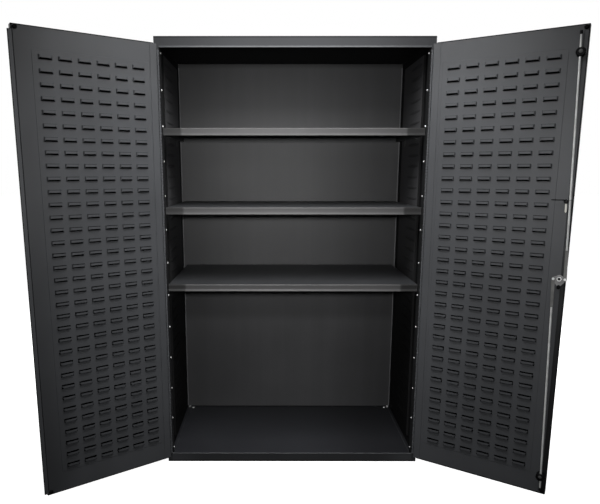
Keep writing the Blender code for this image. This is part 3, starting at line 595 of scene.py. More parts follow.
def joined(name, meshes):
    """One bmesh from several bmeshes, which are freed."""
    whole = bmesh.new()
    for bm in meshes:
        mesh = bpy.data.meshes.new(name)
        bm.to_mesh(mesh)
        bm.free()
        whole.from_mesh(mesh)
        bpy.data.meshes.remove(mesh)
    return whole


def moved(bm, vector):
    """A bmesh in another place."""
    bmesh.ops.translate(bm, vec=vector, verts=bm.verts[:])
    return bm


def cad_copy(*nodes):
    """CAD nodes as one bmesh of whole faces."""
    bm = bmesh.new()
    for node in nodes:
        bm.from_mesh(NODES[node].data)
    bmesh.ops.remove_doubles(bm, verts=bm.verts[:], dist=1e-6)
    bmesh.ops.dissolve_limit(bm, angle_limit=math.radians(0.5), verts=bm.verts[:], edges=bm.edges[:])
    return bm


def rounded(name, bm, width):
    """An object whose sharp edges are rounded off."""
    obj = scratch_object(name, bm)
    obj.data.shade_smooth()
    bevel = obj.modifiers.new("rounding", "BEVEL")
    bevel.width = width
    bevel.segments = 2
    bevel.limit_method = "ANGLE"
    bevel.angle_limit = math.radians(35.0)
    weighted_normals(obj, keep_sharp=False)
    bake(obj)
    return obj


def refined(node, finish, body, width=0.0005, finish_of=None):
    """A copy of a CAD node with rounded edges, which stands for it.

    finish_of tells, from a face's centre and normal, which of the finishes the face has.
    """
    obj = rounded(node + "_looks", cad_copy(node), width)
    if finish_of:
        for face in obj.data.polygons:
            face.material_index = int(finish_of(face.center, face.normal))
    piece(obj, finish, body, [node], angle=None)


def cuboid(low, high):
    """A box as a bmesh, between any two opposite corners."""
    low = Vector(low)
    high = Vector(high)
    size = [abs(b - a) for a, b in zip(low, high)]
    place = Matrix.Translation((low + high) / 2) @ Matrix.Diagonal((*size, 1))
    bm = bmesh.new()
    bmesh.ops.create_cube(bm, size=1, matrix=place)
    return bm


def grid(x_lines, y_lines):
    """A flat grid as a bmesh, with the line numbers of each vertex."""
    x_last = len(x_lines) - 1
    y_last = len(y_lines) - 1
    bm = bmesh.new()
    bmesh.ops.create_grid(bm, x_segments=x_last, y_segments=y_last, size=0.5)
    numbers = {v: (round((v.co.x + 0.5) * x_last), round((v.co.y + 0.5) * y_last)) for v in bm.verts}
    return bm, numbers


def lathe(profile, sides, matrix=Matrix()):
    """A round bmesh from (radius, height) points, with its axis along Z before matrix."""
    bm = bmesh.new()
    verts = [bm.verts.new((radius, 0, height)) for radius, height in profile]
    edges = [bm.edges.new(pair) for pair in zip(verts, verts[1:])]
    axis = (0, 0, 1)
    bmesh.ops.spin(bm, geom=verts + edges, cent=(0, 0, 0), axis=axis, angle=2 * math.pi, steps=sides)
    bmesh.ops.remove_doubles(bm, verts=bm.verts[:], dist=1e-6)
    bmesh.ops.recalc_face_normals(bm, faces=bm.faces[:])
    bmesh.ops.transform(bm, matrix=matrix, verts=bm.verts[:])
    return bm


def arc(centre_radius, centre_height, radius, start, end, steps):
    """Points of an arc in a lathe profile, with angles in degrees from the outward direction."""
    angles = [math.radians(start + (end - start) * i / steps) for i in range(steps + 1)]
    return [(centre_radius + radius * math.cos(a), centre_height + radius * math.sin(a)) for a in angles]


def dome(height, foot, sunk, radius, start, end, steps):
    """Lathe profile of a round head: an arc about a sunk centre, from its top to the radius of its foot."""
    return [(0.0, height)] + arc(0.0, -sunk, radius, start, end, steps) + [(foot, 0.0)]


def repeat_group():
    """Node group that repeats a mesh in columns and rows."""
    name = "Repeat in columns and rows"
    group = bpy.data.node_groups.get(name)
    if group:
        return group
    group = bpy.data.node_groups.new(name, "GeometryNodeTree")
    sockets = (
        ("Geometry", "NodeSocketGeometry"),
        ("Columns", "NodeSocketInt"),
        ("Rows", "NodeSocketInt"),
        ("Column offset", "NodeSocketVector"),
        ("Row offset", "NodeSocketVector"),
        ("Material", "NodeSocketMaterial"),
    )
    for label, kind in sockets:
        group.interface.new_socket(name=label, in_out="INPUT", socket_type=kind)
    group.interface.new_socket(name="Geometry", in_out="OUTPUT", socket_type="NodeSocketGeometry")
    source = group.nodes.new("NodeGroupInput")
    shape = source.outputs["Geometry"]
    for count, offset in (("Columns", "Column offset"), ("Rows", "Row offset")):
        line = group.nodes.new("GeometryNodeMeshLine")
        copies = group.nodes.new("GeometryNodeInstanceOnPoints")
        group.links.new(source.outputs[count], line.inputs["Count"])
        group.links.new(source.outputs[offset], line.inputs["Offset"])
        group.links.new(line.outputs["Mesh"], copies.inputs["Points"])
        group.links.new(shape, copies.inputs["Instance"])
        shape = copies.outputs["Instances"]
    real = group.nodes.new("GeometryNodeRealizeInstances")
    paint = group.nodes.new("GeometryNodeSetMaterial")
    result = group.nodes.new("NodeGroupOutput")
    group.links.new(shape, real.inputs["Geometry"])
    group.links.new(real.outputs["Geometry"], paint.inputs["Geometry"])
    group.links.new(source.outputs["Material"], paint.inputs["Material"])
    group.links.new(paint.outputs["Geometry"], result.inputs["Geometry"])
    return group


def repeated(name, bm, finish, rows=1, row_offset=(0, 0, 0), columns=1, column_offset=(0, 0, 0)):
    """A bmesh with a shape repeated in columns and rows."""
    obj = scratch_object(name, bm)
    modifier = obj.modifiers.new("repeat", "NODES")
    modifier.node_group = repeat_group()
    values = {
        "Columns": columns,
        "Rows": rows,
        "Column offset": column_offset,
        "Row offset": row_offset,
        "Material": FINISH(finish),
    }
    for item in modifier.node_group.interface.items_tree:
        if item.in_out == "INPUT" and item.name in values:
            modifier[item.identifier] = values[item.name]
    obj.update_tag()
    bake(obj)
    bm = bmesh.new()
    bm.from_mesh(obj.data)
    bpy.data.objects.remove(obj)
    return bm


# Doors


class DoorFrame:
    """Turns (u, off, z) of a door into the cabinet's own frame.

    u runs from the hinge axis to the free edge, off from the inner face into the cabinet.
    """

    def __init__(self, name, side):
        joint = next(j for j in frame["joints"] if j["name"] == name + "_door_swing")
        opening = -math.radians(joint["range_deg"][0])
        self.name = name
        self.side = side
        self.body = name + "_door"
        place = Matrix.Translation((joint["pos_m"][0], joint["pos_m"][1], 0))
        self.carrier = place @ Matrix.Rotation(side * opening, 4, "Z")
        self.face = self.closed_box(name + "_door_pan")[1].y
        to_face = Matrix.Translation((0, self.face, 0))
        self.matrix = self.carrier @ to_face @ Matrix.Diagonal((-side, 1, 1, 1))
        self.inward = self.matrix.to_3x3() @ Vector((0, 1, 0))

    def closed_box(self, node):
        """Box of a CAD node, measured with the door closed, from its hinge axis."""
        inverse = self.carrier.inverted()
        return corners(inverse @ v.co for v in NODES[node].data.vertices)

    def span(self, node):
        """Lowest and highest (u, off, z) of a CAD node."""
        low, high = self.closed_box(node)
        u = sorted((-self.side * low.x, -self.side * high.x))
        return Vector((u[0], low.y - self.face, low.z)), Vector((u[1], high.y - self.face, high.z))

    def louver_columns(self, louver):
        """Margin and pitch of the louver columns of this door."""
        if self.name == "left":
            return louver.left_margin, louver.left_pitch
        return louver.right_margin, louver.right_pitch

    def place(self, bm):
        """Move a bmesh from (u, off, z) to the cabinet's frame, with its faces still outwards."""
        bmesh.ops.transform(bm, matrix=self.matrix, verts=bm.verts[:])
        if self.matrix.determinant() < 0:
            bmesh.ops.reverse_faces(bm, faces=bm.faces[:])
        return bm


LEFT_DOOR, RIGHT_DOOR = [DoorFrame(name, side) for name, side in SIDES]
DOORS = (LEFT_DOOR, RIGHT_DOOR)


def rise(distance, run):
    """Quarter-round height, from 0 to 1, at a distance from an edge."""
    share = min(max(distance / run, 0.0), 1.0)
    return math.sqrt(1.0 - (1.0 - share) ** 2)


def louver_hood(louver, creases):
    """One louver: a hood that rises from the sheet on three sides and is open along its top.

    creases picks its inside and the folds at its foot, free end and upper edge, which carry painted light
    and shade, or all the rest.
    """
    bm = hood_surface(louver, louver.depth)
    bm.normal_update()
    unwanted = [face for face in bm.faces if is_crease(face, louver) != creases]
    bmesh.ops.delete(bm, geom=unwanted, context="FACES")
    bmesh.ops.reverse_faces(bm, faces=bm.faces[:])
    if creases:
        return joined("hood", [bm, hood_surface(louver, louver.depth - louver.lip)])
    return bm


def hood_surface(louver, depth):
    """One skin of a louver, facing the door, with a lip that turns back under its open top."""
    rounds = (0.0, 0.06, 0.16, 0.4, 0.7, 1.0)
    lip_return = 3 * louver.lip
    u_lines = [louver.end_round * r for r in rounds]
    u_lines += [louver.length - u for u in reversed(u_lines)]
    z_lines = [louver.foot_round * r for r in (*rounds, louver.foot_share)]
    z_lines += [louver.height - louver.brow, louver.height]
    top = len(z_lines) - 1
    z_lines += [louver.height, louver.height - lip_return]
    bm, numbers = grid(u_lines, z_lines)
    for vert, (i, j) in numbers.items():
        u = u_lines[i]
        end = rise(min(u, louver.length - u), louver.end_round)
        off = depth * end * rise(z_lines[min(j, top)], louver.foot_round)
        if j > top:
            off = max(off - louver.lip, 0.0)
        vert.co = (u, off, z_lines[j])
    return bm


def is_crease(face, louver):
    """True for a face of the hood in the fold at its foot or free end, or along its upper edge."""
    centre = face.calc_center_median()
    foot = centre.z < louver.foot_share * louver.foot_round
    brow = centre.z > louver.height - louver.brow
    return foot or brow or centre.x > louver.length - louver.end_share * louver.end_round


def louver_lines(first, length, pitch, count):
    """Starts and ends of evenly spaced louvers."""
    return [first + pitch * i + part for i in range(count) for part in (0.0, length)]


def sheet_lines(low, high, rim, margin, step, louvers):
    """Grid lines of a liner one way: its rim, the step up to the louvered field, and the louvers."""
    start = louvers[0] - margin
    end = louvers[-1] + margin
    return [low, low + rim, start - step, start, *louvers, end, end + step, high - rim, high]


def louver_sheet(door, louver):
    """Liner with a slightly proud field, an opening behind each louver and a turned-down rim.

    Returns it with the place of its first louver.
    """
    base = 0.0005
    rim = 0.0011
    step = 0.0012
    edge_gap = 0.0052
    strip_gap = 0.0026
    low, high = door.span(door.name + "_louver_liner")
    pan_low, pan_high = door.span(door.name + "_door_pan")
    low.z = pan_low.z + edge_gap
    high.z = pan_high.z - edge_gap
    if door.name == "left":
        high.x = door.span("astragal_strip")[0].x - strip_gap
    margin, pitch = door.louver_columns(louver)
    columns = louver_lines(margin, louver.length, pitch, louver.columns)
    first_row = pan_high.z - louver.top_margin - louver.height - louver.row_pitch * (louver.rows - 1)
    rows = louver_lines(first_row, louver.height + louver.slit, louver.row_pitch, louver.rows)
    u_lines = sheet_lines(low.x, high.x, rim, louver.field_side, step, columns)
    z_lines = sheet_lines(low.z, high.z, rim, louver.field_end, step, rows)
    bm, numbers = grid(u_lines, z_lines)
    for vert, (i, j) in numbers.items():
        lines_in = min(i, j, len(u_lines) - 1 - i, len(z_lines) - 1 - j)
        off = base
        if lines_in == 0:
            off = base - rim
        if lines_in >= 3:
            off = base + louver.field_step
        vert.co = (u_lines[i], off, z_lines[j])
    openings = [face for face in bm.faces if is_opening(face, columns, rows)]
    bmesh.ops.delete(bm, geom=openings, context="FACES_ONLY")
    bmesh.ops.reverse_faces(bm, faces=bm.faces[:])
    return bm, (columns[0], base + louver.field_step, rows[0])


def is_opening(face, columns, rows):
    """True for a cell of the liner that lies behind a louver."""
    centre = face.calc_center_median()
    across = any(a < centre.x < b for a, b in zip(columns[::2], columns[1::2]))
    return across and any(a < centre.z < b for a, b in zip(rows[::2], rows[1::2]))


class CABINET_OT_louvers(bpy.types.Operator):
    """Build the louvered liners of both doors"""

    bl_idname = "cabinet.louvers"
    bl_label = "Louvered liners"

    def execute(self, context):
        louver = settings().louver
        for door in DOORS:
            sheet, start = louver_sheet(door, louver)
            hoods = self.rows(door, louver, start, creases=False)
            obj = scratch_object(door.name + "_liner_looks", door.place(joined("liner", [sheet, hoods])))
            piece(obj, "door_paint", door.body, [door.name + "_louver_liner"], angle=34.0)
            # The insides and folds of the louvers, in coats of painted light and shade.
            creases = self.rows(door, louver, start, creases=True)
            creases.normal_update()
            for face in creases.faces:
                face.material_index = self.crease_finish(face, louver, start)
            obj = scratch_object(door.name + "_louver_creases", door.place(creases))
            piece(obj, ["crease_shade_paint", "foot_light_and_shade_paint", "end_light_and_shade_paint"], door.body, angle=60.0)
        return {"FINISHED"}

    def crease_finish(self, face, louver, start):
        """Finish of a face of the folds: 0 inside the hood, painted shade; 1 at its foot and 2 at its end
        and upper edge, painted shade on some rows and painted light on others.
        """
        if face.normal.y < 0.1:
            return 0
        height = (face.calc_center_median().z - start[2]) % louver.row_pitch
        is_end = abs(face.normal.x) > 0.5
        return 2 if is_end or height > louver.height - louver.brow else 1

    def rows(self, door, louver, start, creases):
        """All louvers of a door, or their insides and shaded folds."""
        across = (door.louver_columns(louver)[1], 0, 0)
        up = (0, 0, louver.row_pitch)
        hood = louver_hood(louver, creases)
        return moved(repeated("louvers", hood, "door_paint", louver.rows, up, louver.columns, across), start)


def door_shell(door):
    """Outer skin with rounded folds and a narrow return flange, as a bmesh in (u, off, z).

    Its flat faces have material index 0, its folds and the flange under the astragal strip 1, which is
    painted shade.
    """
    bend = 0.0024
    rim = 0.0046
    liner_gap = 0.0006
    low, high = door.span(door.name + "_door_pan")
    flange = door.span(door.name + "_louver_liner")[0].z - low.z - liner_gap
    bm = cuboid(low, high)
    bmesh.ops.bevel(
        bm, geom=bm.edges[:], offset=bend, segments=3, profile=0.5, affect="EDGES", clamp_overlap=True
    )
    inner = max(bm.faces, key=lambda face: face.calc_center_median().y + face.calc_area())
    bmesh.ops.inset_region(bm, faces=[inner], thickness=rim - bend, use_even_offset=True)
    ring = bmesh.ops.inset_region(bm, faces=[inner], thickness=flange - rim, use_even_offset=True)
    under_strip = high.x - flange if door.name == "left" else high.x
    plain = {face for face in ring["faces"] if face.calc_center_median().x < under_strip}
    plain.add(inner)
    plain.add(min(bm.faces, key=lambda face: face.calc_center_median().y - face.calc_area()))
    for face in bm.faces:
        face.material_index = 0 if face in plain else 1
    bmesh.ops.delete(bm, geom=[inner], context="FACES_ONLY")
    return bm


class CABINET_OT_doors(bpy.types.Operator):
    """Build the folded outer skins of both doors"""

    bl_idname = "cabinet.doors"
    bl_label = "Door skins"

    def execute(self, context):
        self.skin(LEFT_DOOR, "door_paint")
        self.skin(RIGHT_DOOR, "edge_paint_and_shade")
        self.astragal(LEFT_DOOR)
        self.edge_screw(RIGHT_DOOR)
        return {"FINISHED"}

    def skin(self, door, flange_paint):
        """Skin of one door. Its wall's inside is painted shade, and its outer face has a paint of its own.
        """
        finishes = [flange_paint, "bend_shade_paint", "crease_shade_paint", "side_paint"]
        inside = finishes.index("crease_shade_paint")
        outside = finishes.index("side_paint")
        obj = scratch_object(door.name + "_skin_looks", door.place(door_shell(door)))
        for name in finishes[:outside]:
            obj.data.materials.append(FINISH(name))
        wall = obj.modifiers.new("wall", "SOLIDIFY")
        wall.thickness = SHEET_THICKNESS
        wall.offset = -1
        wall.material_offset = inside
        bake(obj)
        for face in obj.data.polygons:
            is_outer = face.material_index == 0 and face.normal.dot(door.inward) < -0.9
            face.material_index = outside if is_outer else min(face.material_index, inside)
        piece(obj, finishes, door.body, [door.name + "_door_pan"], angle=25.0)

    def astragal(self, door):
        """Flat strip along the free edge of the left door, with painted shade along its outer edge."""
        shaded_width = 0.0034
        low, high = door.span("astragal_strip")
        shaded = high.x - shaded_width
        bm = cuboid(low, high)
        geometry = bm.verts[:] + bm.edges[:] + bm.faces[:]
        bmesh.ops.bisect_plane(bm, geom=geometry, plane_co=(shaded, 0, 0), plane_no=(1, 0, 0))
        for face in bm.faces:
            face.material_index = int(face.calc_center_median().x > shaded)
        obj = rounded("astragal_looks", door.place(bm), width=0.0008)
        piece(obj, ["strip_paint", "bend_shade_paint"], door.body, ["astragal_strip"], angle=None)

    def edge_screw(self, door):
        """Small dark screw near the free edge of the right door."""
        across = 0.574
        height = 1.147
        head = dome(height=0.0016, foot=0.0038, sunk=0.0030, radius=0.0046, start=75, end=42, steps=4)
        place = Matrix.Translation((across, 0.0, height)) @ OUT_OF_DOOR
        obj = scratch_object("right_edge_screw", door.place(lathe(head, sides=16, matrix=place)))
        piece(obj, "black_plastic", door.body, angle=60.0)


# Hinges


TONGUE_RUN = 0.0042
PLATE_START = 0.0036


def knuckle(hinge, tongue):
    """One knuckle with the tongue that joins it to its leaf, as a bmesh standing on z = 0.

    tongue holds two opposite corners of the tongue's section.
    """
    length = hinge.knuckle_pitch - hinge.knuckle_gap
    radius = hinge.knuckle_radius
    chamfer = 0.0005
    profile = [
        (0.0, length),
        (radius - chamfer, length),
        (radius, length - chamfer),
        (radius, chamfer),
        (radius - chamfer, 0.0),
        (0.0, 0.0),
    ]
    first, second = tongue
    joint = cuboid((*first, chamfer), (*second, length - chamfer))
    return joined("knuckle", [lathe(profile, sides=12), joint])


class CABINET_OT_hinges(bpy.types.Operator):
    """Build the full-height hinges and their rivets"""

    bl_idname = "cabinet.hinges"
    bl_label = "Hinges"

    def execute(self, context):
        hinge = settings().hinge
        for door in DOORS:
            low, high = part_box(door.name + "_case_leaf")
            jamb = min(abs(low.x), abs(high.x))
            count = int((high.z - low.z) / hinge.knuckle_pitch)
            self.case_leaf(door, hinge, low, high, jamb, (count + 1) // 2)
            self.door_leaf(door, hinge, low.z + hinge.knuckle_pitch, count // 2)
            self.rivets(door, hinge, jamb)
            pin = NODES[door.name + "_hinge_pin"].data
            pin.materials.clear()
            pin.materials.append(FINISH("leaf_paint"))
        return {"FINISHED"}

    def case_leaf(self, door, hinge, low, high, jamb, count):
        """Fixed leaf of one hinge, with every other knuckle from the lowest."""
        axis = door.carrier.translation
        near, far = sorted((door.side * jamb, door.side * (jamb + SHEET_THICKNESS)))
        plate = cuboid((near, axis.y + PLATE_START, low.z), (far, high.y, high.z))
        tongue = ((near - axis.x, 0.0), (far - axis.x, TONGUE_RUN))
        knuckles = moved(self.knuckles(hinge, tongue, count), (axis.x, axis.y, low.z))
        obj = scratch_object(door.name + "_case_hinge_looks", joined("leaf", [plate, knuckles]))
        piece(obj, ["leaf_paint", "knuckle_paint"], "case", [door.name + "_case_leaf"])

    def door_leaf(self, door, hinge, start, count):
        """Moving leaf of one hinge, with the knuckles between."""
        top = 0.0018
        end_gap = 0.004
        width = door.span(door.name + "_door_leaf")[1].x
        low, high = door.span(door.name + "_door_pan")
        bottom = top - SHEET_THICKNESS
        plate = cuboid((PLATE_START, bottom, low.z + end_gap), (width, top, high.z - end_gap))
        tongue = ((0.0, bottom + door.face), (TONGUE_RUN, top + door.face))
        knuckles = moved(self.knuckles(hinge, tongue, count), (0.0, -door.face, start))
        bm = door.place(joined("leaf", [plate, knuckles]))
        obj = scratch_object(door.name + "_door_hinge_looks", bm)
        piece(obj, ["door_paint", "knuckle_paint"], door.body, [door.name + "_door_leaf"])

    def knuckles(self, hinge, tongue, count):
        """Every other knuckle of a hinge, from z = 0 up, with the second finish of its piece."""
        step = (0, 0, 2 * hinge.knuckle_pitch)
        bm = repeated("knuckles", knuckle(hinge, tongue), "knuckle_paint", count, step)
        for face in bm.faces:
            face.material_index = 1
        return bm

    def rivets(self, door, hinge, jamb):
        """Bright rivets through the case leaf."""
        foot = hinge.rivet_radius
        head = dome(height=0.0030, foot=foot, sunk=0.0022, radius=0.0052, start=70, end=26, steps=5)
        turn = Matrix.Rotation(math.radians(-90 * door.side), 4, "Y")
        rivet = lathe(head, sides=14, matrix=turn)
        bm = repeated("rivets", rivet, "rivet_steel", hinge.rivets, (0, 0, -hinge.rivet_pitch))
        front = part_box("left_side")[0].y
        start = (door.side * jamb, front + hinge.rivet_setback, hinge.rivet_top)
        obj = scratch_object(door.name + "_hinge_rivets", moved(bm, start))
        piece(obj, "rivet_steel", "case", angle=60.0)


# Case. A strip's section is a row of (forward, up) points from the front edge of its sheet.


HEADER_HEM = (
    (-0.0010, 0.0075),
    (0.0003, 0.0072),
    (0.0011, 0.0058),
    (0.0014, 0.0036),
    (0.0012, 0.0014),
    (0.0005, 0.0002),
    (-0.0010, -0.0002),
)
SILL_HEM = (
    (-0.0030, 0.0004),
    (-0.0008, 0.0004),
    (0.0004, 0.0000),
    (0.0010, -0.0010),
    (0.0008, -0.0026),
    (0.0002, -0.0040),
    (-0.0010, -0.0044),
)


def front_strip(name, section, start, end, front, height, finish, second=()):
    """A rounded strip along X with a section, from the front and the height of its sheet's edge.

    second lists the points of the section after which the strip has its second finish.
    """
    bm = bmesh.new()
    ends = []
    for x in (start, end):
        ends.append([bm.verts.new((x, front - forward, height + up)) for forward, up in section])
    for i in range(len(section) - 1):
        face = bm.faces.new((ends[0][i], ends[0][i + 1], ends[1][i + 1], ends[1][i]))
        face.material_index = int(i in second)
    for end_verts in ends:
        bm.faces.new(end_verts)
    bmesh.ops.recalc_face_normals(bm, faces=bm.faces[:])
    piece(scratch_object(name, bm), finish, "case", angle=50.0)


class CABINET_OT_case(bpy.types.Operator):
    """Finish the case: sides, top, header, sill, back and floor"""

    bl_idname = "cabinet.case"
    bl_label = "Case"

    def execute(self, context):
        rounding = 0.0004
        for node in OUTER_SHEETS:
            finishes = ["side_paint", "well_paint", "case_paint"]
            refined(node, finishes, "case", rounding, self.sheet_finish)
        for node, finish, slot in (
            ("header", "case_paint", "paint"),
            ("sill", "sill_paint", "paint"),
            ("back_panel", ["side_paint", "inside_paint_and_shade"], "inner_paint"),
            ("floor_pan", "floor_paint", "inner_paint"),
            ("floor_stiffener", "floor_paint", "inner_paint"),
            # The wall strips' front edges take painted shade.
            ("left_slot_panel", ["wall_paint", "well_paint"], "inner_paint"),
            ("right_slot_panel", ["wall_paint", "well_paint"], "inner_paint"),
        ):
            refined(node, finish, "case", rounding, self.is_front)
        self.hems()
        self.seams()
        self.wall_ribs()
        low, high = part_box("floor_pan")
        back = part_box("back_panel")[0].y
        self.floor_fixings(back, high.z)
        self.floor_edges(low.y, back, high.z)
        return {"FINISHED"}

    def sheet_finish(self, centre, normal):
        """Finish of a face of the outer sheets: 1 inside the case, which is painted shade, 2 on its front,
        or else 0.
        """
        skin = 0.0012
        low, high = CASE_BOX
        if all(a + skin < c < b - skin for a, c, b in zip(low, centre, high)):
            return 1
        return 2 if normal.y < -0.7 else 0

    def is_front(self, centre, normal):
        """True for a face that looks forwards."""
        return normal.y < -0.3

    def hems(self):
        """Rounded hems along the lower edge of the header and the upper edge of the sill, in a lighter coat
        that is painted highlight.
        """
        end_gap = 0.001
        for node, hem in (("header", HEADER_HEM), ("sill", SILL_HEM)):
            low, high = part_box(node)
            edge = low.z if node == "header" else high.z
            front_strip(node + "_hem", hem, low.x + end_gap, high.x - end_gap, low.y, edge, "hem_paint")

    def seams(self):
        """Narrow flange of the back panel in both rear corners, painted pale as a painted highlight."""
        start = HALF_WIDTH - 0.0031
        width = 0.0055
        thickness = 0.0016
        end_gap = 0.02
        low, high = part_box("back_panel")
        for name, side in SIDES:
            outer = (side * start, low.y - thickness, low.z + end_gap)
            inner = (side * (start - width), low.y, high.z - end_gap)
            obj = rounded(name + "_rear_seam", cuboid(outer, inner), width=0.0006)
            piece(obj, "seam_paint", "case", angle=None)

    def wall_ribs(self):
        """Shallow ribs pressed into the inner strips of the side walls, long from front to back, in a darker
        coat that is painted shade.
        """
        profile = [(0.0, 0.0038), (0.004, 0.0036), (0.0065, 0.0024), (0.0078, 0.0)]
        stretch = (13.0, 1.0, 0.6)
        setback = 0.118
        top_gap = 0.035
        end_room = 0.04
        pitch = settings().louver.row_pitch
        for name, side in SIDES:
            low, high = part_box(name + "_slot_panel")
            rib = lathe(profile, sides=16)
            bmesh.ops.scale(rib, vec=stretch, verts=rib.verts[:])
            turn = Matrix(((0, 0, -side), (1, 0, 0), (0, 1, 0))).to_4x4()
            bmesh.ops.transform(rib, matrix=turn, verts=rib.verts[:])
            count = int((high.z - low.z - end_room) / pitch)
            ribs = repeated("ribs", rib, "rib_paint", count, (0, 0, -pitch))
            start = (side * min(abs(low.x), abs(high.x)), low.y + setback, high.z - top_gap)
            piece(scratch_object(name + "_wall_ribs", moved(ribs, start)), "rib_paint", "case", angle=60.0)

    def floor_fixings(self, back, top):
        """Two screws in each rear corner of the floor, and spot welds along its back."""
        head = dome(height=0.0052, foot=0.0066, sunk=0.0018, radius=0.0070, start=70, end=20, steps=5)
        screw_places = ((0.0166, 0.008), (0.0376, 0.021))
        screws = []
        for side in (-1, 1):
            for inset, setback in screw_places:
                place = Matrix.Translation((side * (HALF_WIDTH - inset), back - setback, top))
                screws.append(lathe(head, sides=14, matrix=place))
        piece(scratch_object("floor_screws", joined("screws", screws)), "rivet_steel", "case", angle=60.0)
        weld_profile = [(0.0, 0.0014), (0.0040, 0.0010), (0.0056, 0.0)]
        weld_inset = 0.0906
        weld_setback = 0.006
        pitch = (0.261, 0, 0)
        first = Matrix.Translation((weld_inset - HALF_WIDTH, back - weld_setback, top))
        weld = lathe(weld_profile, sides=12, matrix=first)
        welds = repeated("welds", weld, "strip_paint", columns=5, column_offset=pitch)
        piece(scratch_object("floor_welds", welds), "strip_paint", "case", angle=60.0)

    def floor_edges(self, front, back, top):
        """Turned-up side edges of the floor, and a dark joint along its back."""
        outer = HALF_WIDTH - 0.0161
        width = 0.0030
        height = 0.0022
        start = front + 0.03
        end = back - 0.012
        edges = []
        for side in (-1, 1):
            inner = (side * (outer - width), end, top + height)
            edges.append(cuboid((side * outer, start, top), inner))
        obj = rounded("floor_side_edges", joined("edges", edges), width=0.0005)
        piece(obj, "tray_paint", "case", angle=None)
        joint_end = HALF_WIDTH - 0.0246
        joint_front = back - 0.0040
        joint_back = back - 0.0002
        joint_top = top + 0.0030
        joint = cuboid((-joint_end, joint_front, top), (joint_end, joint_back, joint_top))
        piece(rounded("floor_rear_joint", joint, width=0.0004), "well_paint", "case", angle=None)


# Shelves. The lip's section is measured like that of a hem.


SHELF_LIP = (
    (-0.0060, 0.0004),
    (-0.0012, 0.0004),
    (0.0000, 0.0002),
    (0.0007, -0.0006),
    (0.0009, -0.0042),
    (0.0004, -0.0090),
    (0.0001, -0.0200),
    (0.0004, -0.0235),
    (0.0013, -0.0268),
    (0.0018, -0.0295),
    (0.0016, -0.0318),
    (0.0008, -0.0332),
    (-0.0010, -0.0336),
)
# Faces of the lip's section after these points take the lighter coat, a painted highlight on its bends.
SHELF_LIP_HIGHLIGHTS = (0, 1, 2, 3, 7, 8, 9, 10)


class CABINET_OT_shelves(bpy.types.Operator):
    """Finish the shelves and their clips"""

    bl_idname = "cabinet.shelves"
    bl_label = "Shelves"

    def execute(self, context):
        finishes = ["shelf_paint", "lip_highlight_and_shade_paint"]
        for node in ("shelf_lower", "shelf_middle", "shelf_upper"):
            refined(node, "tray_paint", "case")
            low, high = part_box(node)
            ends = (low.x, high.x)
            front_strip(node + "_lip", SHELF_LIP, *ends, low.y, high.z, finishes, SHELF_LIP_HIGHLIGHTS)
        self.clips()
        return {"FINISHED"}

    def clips(self):
        """Shelf clips, drawn in towards the walls."""
        width_left = 0.55
        nodes = [name for name in NODES if name.startswith("clip_")]
        bm = cad_copy(*nodes)
        wall = max(abs(vert.co.x) for vert in bm.verts)
        for vert in bm.verts:
            vert.co.x = math.copysign(wall - width_left * (wall - abs(vert.co.x)), vert.co.x)
        obj = rounded("shelf_clips_looks", bm, width=0.0005)
        piece(obj, "clip_steel", "case", nodes, angle=None)


# Bumpers, lock and key


class CABINET_OT_bumpers(bpy.types.Operator):
    """Build the rubber bumpers of both doors"""

    bl_idname = "cabinet.bumpers"
    bl_label = "Bumpers"

    def execute(self, context):
        for door in DOORS:
            nodes = [door.name + "_bumper_top", door.name + "_bumper_bottom"]
            bm = joined("bumpers", [self.bumper(*door.span(node)) for node in nodes])
            obj = scratch_object(door.name + "_bumpers_looks", door.place(bm))
            piece(obj, "rubber", door.body, nodes)
        return {"FINISHED"}

    def bumper(self, low, high):
        """One bumper with a dished top, a little smaller than its solid so that it clears the hems."""
        radius_share = 0.8
        clearance = 0.0014
        dish_depth = 0.0028
        dish_floor = 0.0042
        dish_rim = 0.0046
        rim_drop = 0.0006
        corner = 0.003
        taper = 0.001
        foot_height = 0.001
        foot_chamfer = 0.0006
        centre = (low + high) / 2
        radius = radius_share * (high.z - low.z) / 2
        height = high.y - low.y - clearance
        dish_bottom = height - dish_depth
        profile = [(0.0, dish_bottom), (dish_floor, dish_bottom), (dish_rim, height - rim_drop)]
        profile += arc(radius - corner - taper, height - corner, corner, start=90, end=25, steps=5)
        profile += [(radius, foot_height), (radius - foot_chamfer, 0.0), (0.0, 0.0)]
        place = Matrix.Translation((centre.x, low.y, centre.z)) @ OUT_OF_DOOR
        return lathe(profile, sides=28, matrix=place)


